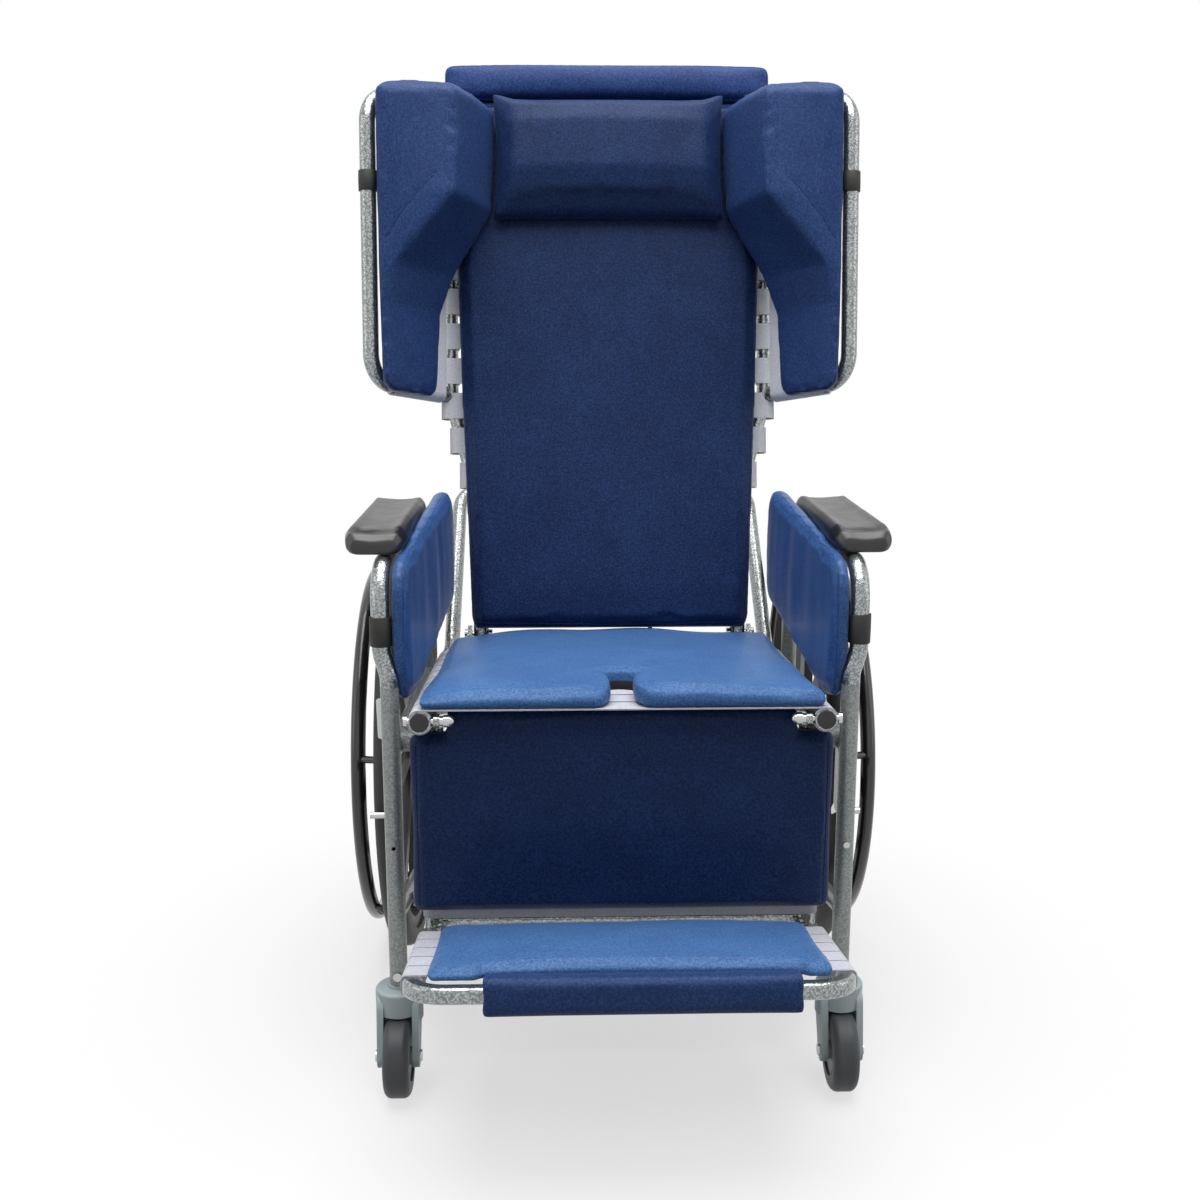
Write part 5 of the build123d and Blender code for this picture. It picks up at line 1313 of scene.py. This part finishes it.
# ---- studio --------------------------------------------------------------------------------------
@dataclass(frozen=True)
class Studio:
    """Plain white floor and backdrop, soft overhead light, side fills and the camera."""

    eye: tuple[float, float, float] = (-0.06931, -1.832502, 0.96287)
    down: float = 77.83         # camera's angle from straight down, in degrees
    turn: float = -1.59
    lens: float = 42.075        # millimetres on a 36 mm sensor
    world: float = 0.18         # strength of the grey light
    key: float = 92.0           # the lamps' watts
    sides: float = 9.0
    front: float = 3.0
    white_near: float = 0.59    # floor's whiteness under the chair, which leaves its shadow
    flat: tuple[float, float] = (-5.0, 3.5)     # where the floor is level, in metres
    bend: float = 1.5           # radius of its curve up
    half_width: float = 7.0
    rows: tuple[int, int, int] = (40, 12, 8)    # on the level, the bend and the wall
    columns: int = 30

    def build(self) -> None:
        """Make the camera, the world, the lamps and the floor."""
        data = bpy.data.cameras.new("eye")
        data.lens, data.sensor_width = self.lens, 36.0
        data.clip_start, data.clip_end = 0.05, 60.0
        camera = bpy.data.objects.new("eye", data)
        camera.location = self.eye
        camera.rotation_euler = (math.radians(self.down), 0.0, math.radians(self.turn))
        scene = bpy.context.scene
        scene.collection.objects.link(camera)
        scene.camera = camera
        scene.view_settings.view_transform = "Standard"
        self.sky(scene)
        self.lamp("overhead", (0.0, -0.35, 2.9), (0.0, 0.0, 0.6), (2.4, 2.4), self.key)
        self.lamp("left_fill", (-2.6, -0.6, 1.5), (0.0, 0.0, 0.7), (1.4, 2.2), self.sides)
        self.lamp("right_fill", (2.6, -0.6, 1.5), (0.0, 0.0, 0.7), (1.4, 2.2), self.sides)
        self.lamp("front_fill", (0.0, -3.4, 1.7), (0.0, 0.0, 0.7), (2.2, 1.6), self.front)
        self.floor()

    def sky(self, scene: bpy.types.Scene) -> None:
        """White for the camera, mirrors and glass, and a plain grey light for everything else.

        Args:
            scene: the scene that gets the world.
        """
        world = bpy.data.worlds.new("studio")
        scene.world = world
        world.use_nodes = True
        tree = world.node_tree
        tree.nodes.clear()
        path = add(tree, "ShaderNodeLightPath")
        seen = add(tree, "ShaderNodeMath", {"operation": "MAXIMUM"},
                   {0: path.outputs["Is Camera Ray"], 1: path.outputs["Is Transmission Ray"]})
        either = add(tree, "ShaderNodeMath", {"operation": "MAXIMUM"},
                     {0: seen.outputs[0], 1: path.outputs["Is Glossy Ray"]})
        level = add(tree, "ShaderNodeMapRange", None,
                    {"Value": either.outputs[0], "To Min": self.world, "To Max": 1.0})
        light = add(tree, "ShaderNodeBackground", None,
                    {"Color": colour("#FFFFFF"), "Strength": level.outputs["Result"]})
        add(tree, "ShaderNodeOutputWorld", None, {"Surface": light.outputs["Background"]})

    @staticmethod
    def lamp(name: str, place: tuple, target: tuple, size: tuple, watts: float) -> None:
        """A soft box at a place, turned to a target.

        Args:
            name: the lamp's name.
            place: its middle, in metres.
            target: the point it looks at.
            size: its width and height.
            watts: its power.
        """
        data = bpy.data.lights.new(name, "AREA")
        data.shape = "RECTANGLE"
        data.size, data.size_y = size
        data.energy = watts
        lamp = bpy.data.objects.new(name, data)
        lamp.location = place
        way = np.array(target) - np.array(place)
        flat = math.hypot(way[0], way[1])
        lamp.rotation_euler = (math.atan2(flat, -way[2]), 0.0, math.atan2(way[1], way[0]) - math.pi / 2)
        bpy.context.scene.collection.objects.link(lamp)

    def floor(self) -> None:
        """Lay a pale floor that curves up behind, through a quarter circle, into a wall."""
        level, curve, wall = self.rows
        turn = np.linspace(0.05, 1, curve) * np.pi / 2
        run = np.concatenate([np.linspace(*self.flat, level), self.flat[1] + self.bend * np.sin(turn),
                              np.full(wall, self.flat[1] + self.bend)])
        rise = np.concatenate([np.zeros(level), self.bend * (1 - np.cos(turn)), np.linspace(1.8, 6, wall)])
        across = np.linspace(-self.half_width, self.half_width, self.columns)
        y, x = np.meshgrid(run, across, indexing="ij")
        z = np.repeat(rise[:, None], self.columns, 1)
        faces = grid_faces(len(run), self.columns, False, Ends.OPEN)
        mesh = bpy.data.meshes.new("paper_floor")
        mesh.from_pydata(np.stack([x, y, z], -1).reshape(-1, 3), [], faces)
        mesh.materials.append(self.paper())
        piece = bpy.data.objects.new("paper_floor", mesh)
        bpy.context.scene.collection.objects.link(piece)

    def paper(self) -> bpy.types.Material:
        """Paper that keeps the chair's shadow and fades to white away from it.

        Returns:
            The material.
        """
        made = bpy.data.materials.new("studio_paper")
        made.use_nodes = True
        tree = made.node_tree
        tree.nodes.clear()
        path = add(tree, "ShaderNodeLightPath")
        seen = add(tree, "ShaderNodeMath", {"operation": "MAXIMUM"},
                   {0: path.outputs["Is Camera Ray"], 1: path.outputs["Is Glossy Ray"]})
        white = add(tree, "ShaderNodeMix", {"data_type": "RGBA"},
                    {0: seen.outputs[0], 6: colour("#8E8E8E"), 7: colour("#F6F6F6")})
        paper = add(tree, "ShaderNodeBsdfDiffuse", None, {"Color": white.outputs[2]})
        glow = add(tree, "ShaderNodeEmission", None, {"Color": colour("#FFFFFF"), "Strength": 1.0})
        place = add(tree, "ShaderNodeTexCoord").outputs["Object"]
        far = add(tree, "ShaderNodeVectorMath", {"operation": "LENGTH"}, {0: place})
        share = add(tree, "ShaderNodeMapRange", {"interpolation_type": "SMOOTHSTEP"},
                    {"Value": far.outputs["Value"], "From Min": 0.15, "From Max": 0.9,
                     "To Min": self.white_near, "To Max": 1.0})
        lift = add(tree, "ShaderNodeMath", {"operation": "MULTIPLY"},
                   {0: seen.outputs[0], 1: share.outputs["Result"]})
        both = add(tree, "ShaderNodeMixShader", None,
                   {0: lift.outputs[0], 1: paper.outputs["BSDF"], 2: glow.outputs["Emission"]})
        add(tree, "ShaderNodeOutputMaterial", None, {"Surface": both.outputs["Shader"]})
        return made


def main() -> None:
    """Build the studio, then dress the chair piece by piece."""
    logging.basicConfig(level=logging.INFO, format="%(message)s")
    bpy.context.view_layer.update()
    Studio().build()
    CadDress().build()
    under, behind = (0, 0, -1), (0, 1, 0)
    BackCushion("back_cushion", "back", NAVY, "back_vinyl", BACK, [behind], voxel=6.0).build()
    # the headrest band takes the brighter navy copy, painted top light
    TopPad("top_pad", "back", NAVY_PAINTED_TOP_LIGHT, "back_vinyl", BACK, [behind, under], cap=3.5).build()
    HeadPillow("head_pillow", "back", NAVY, "back_vinyl", BACK, [behind], cap=3.5, smooth=2, settle=10,
               proud_high=(2.5, 0.0, 6.0), proud_low=(2.5, 0.0, 0.0)).build()
    SeatCushion("seat_cushion", "seat", SEAT_BLUE_PAINTED_TOP_LIGHT, "seat_vinyl", SEAT, [under], cap=3.0,
                proud_low=(1.5, 1.0, 0.0), proud_high=(1.5, 0.0, 2.0)).build()
    CalfPad("calf_pad", "legrest", NAVY, "back_vinyl", LEVEL, [behind], cap=2.0, smooth=2,
            proud_low=(1.0, 1.0, 0.0), proud_high=(1.0, 0.0, 0.0)).build()
    FootPad("foot_pad", "footrest", SEAT_BLUE_PAINTED_TOP_LIGHT, "seat_vinyl", FOOT, [under], cap=3.0,
            proud_low=(0.0, 8.0, 0.0)).build()
    RollCover("roll_cover", "footrest", BLUE, "wing_vinyl", FOOT, [], voxel=3.5, shrink=0.3, cap=1.2).build()
    for name, side in (("right", -1), ("left", 1)):
        ArmPad(f"arm_pad_{name}", f"arm_{name}", ARM_FOAM, "arm_foam", LEVEL, [under], voxel=3.5, shrink=0.3,
               cap=1.2, fill=1.0, proud_low=(1.0, 1.0, 0.0), proud_high=(1.0, 1.0, 1.0), side=side).build()
        WingCushion(f"wing_cushion_{name}", "back", BLUE, "wing_vinyl", BACK, [behind], shrink=0.5, cap=1.6,
                    drift=1.0, smooth=2, settle=3, side=side).build()
        SidePanel(f"side_panel_{name}", f"arm_{name}", PANEL_BLUE, "panel_vinyl", LEVEL, [(side, 0, 0)],
                  cap=2.5, side=side).build()
        Band(f"arm_band_{name}", f"arm_{name}", (side * 281, 71, 565), (side * 281, 71, 600), LEVEL).build()
        Band(f"wing_band_{name}", "back", (side * 328, -94.9, 577), (side * 328, -97.3, 604), BACK,
             tube=22.0).build()


if __name__ == "__main__":
    main()
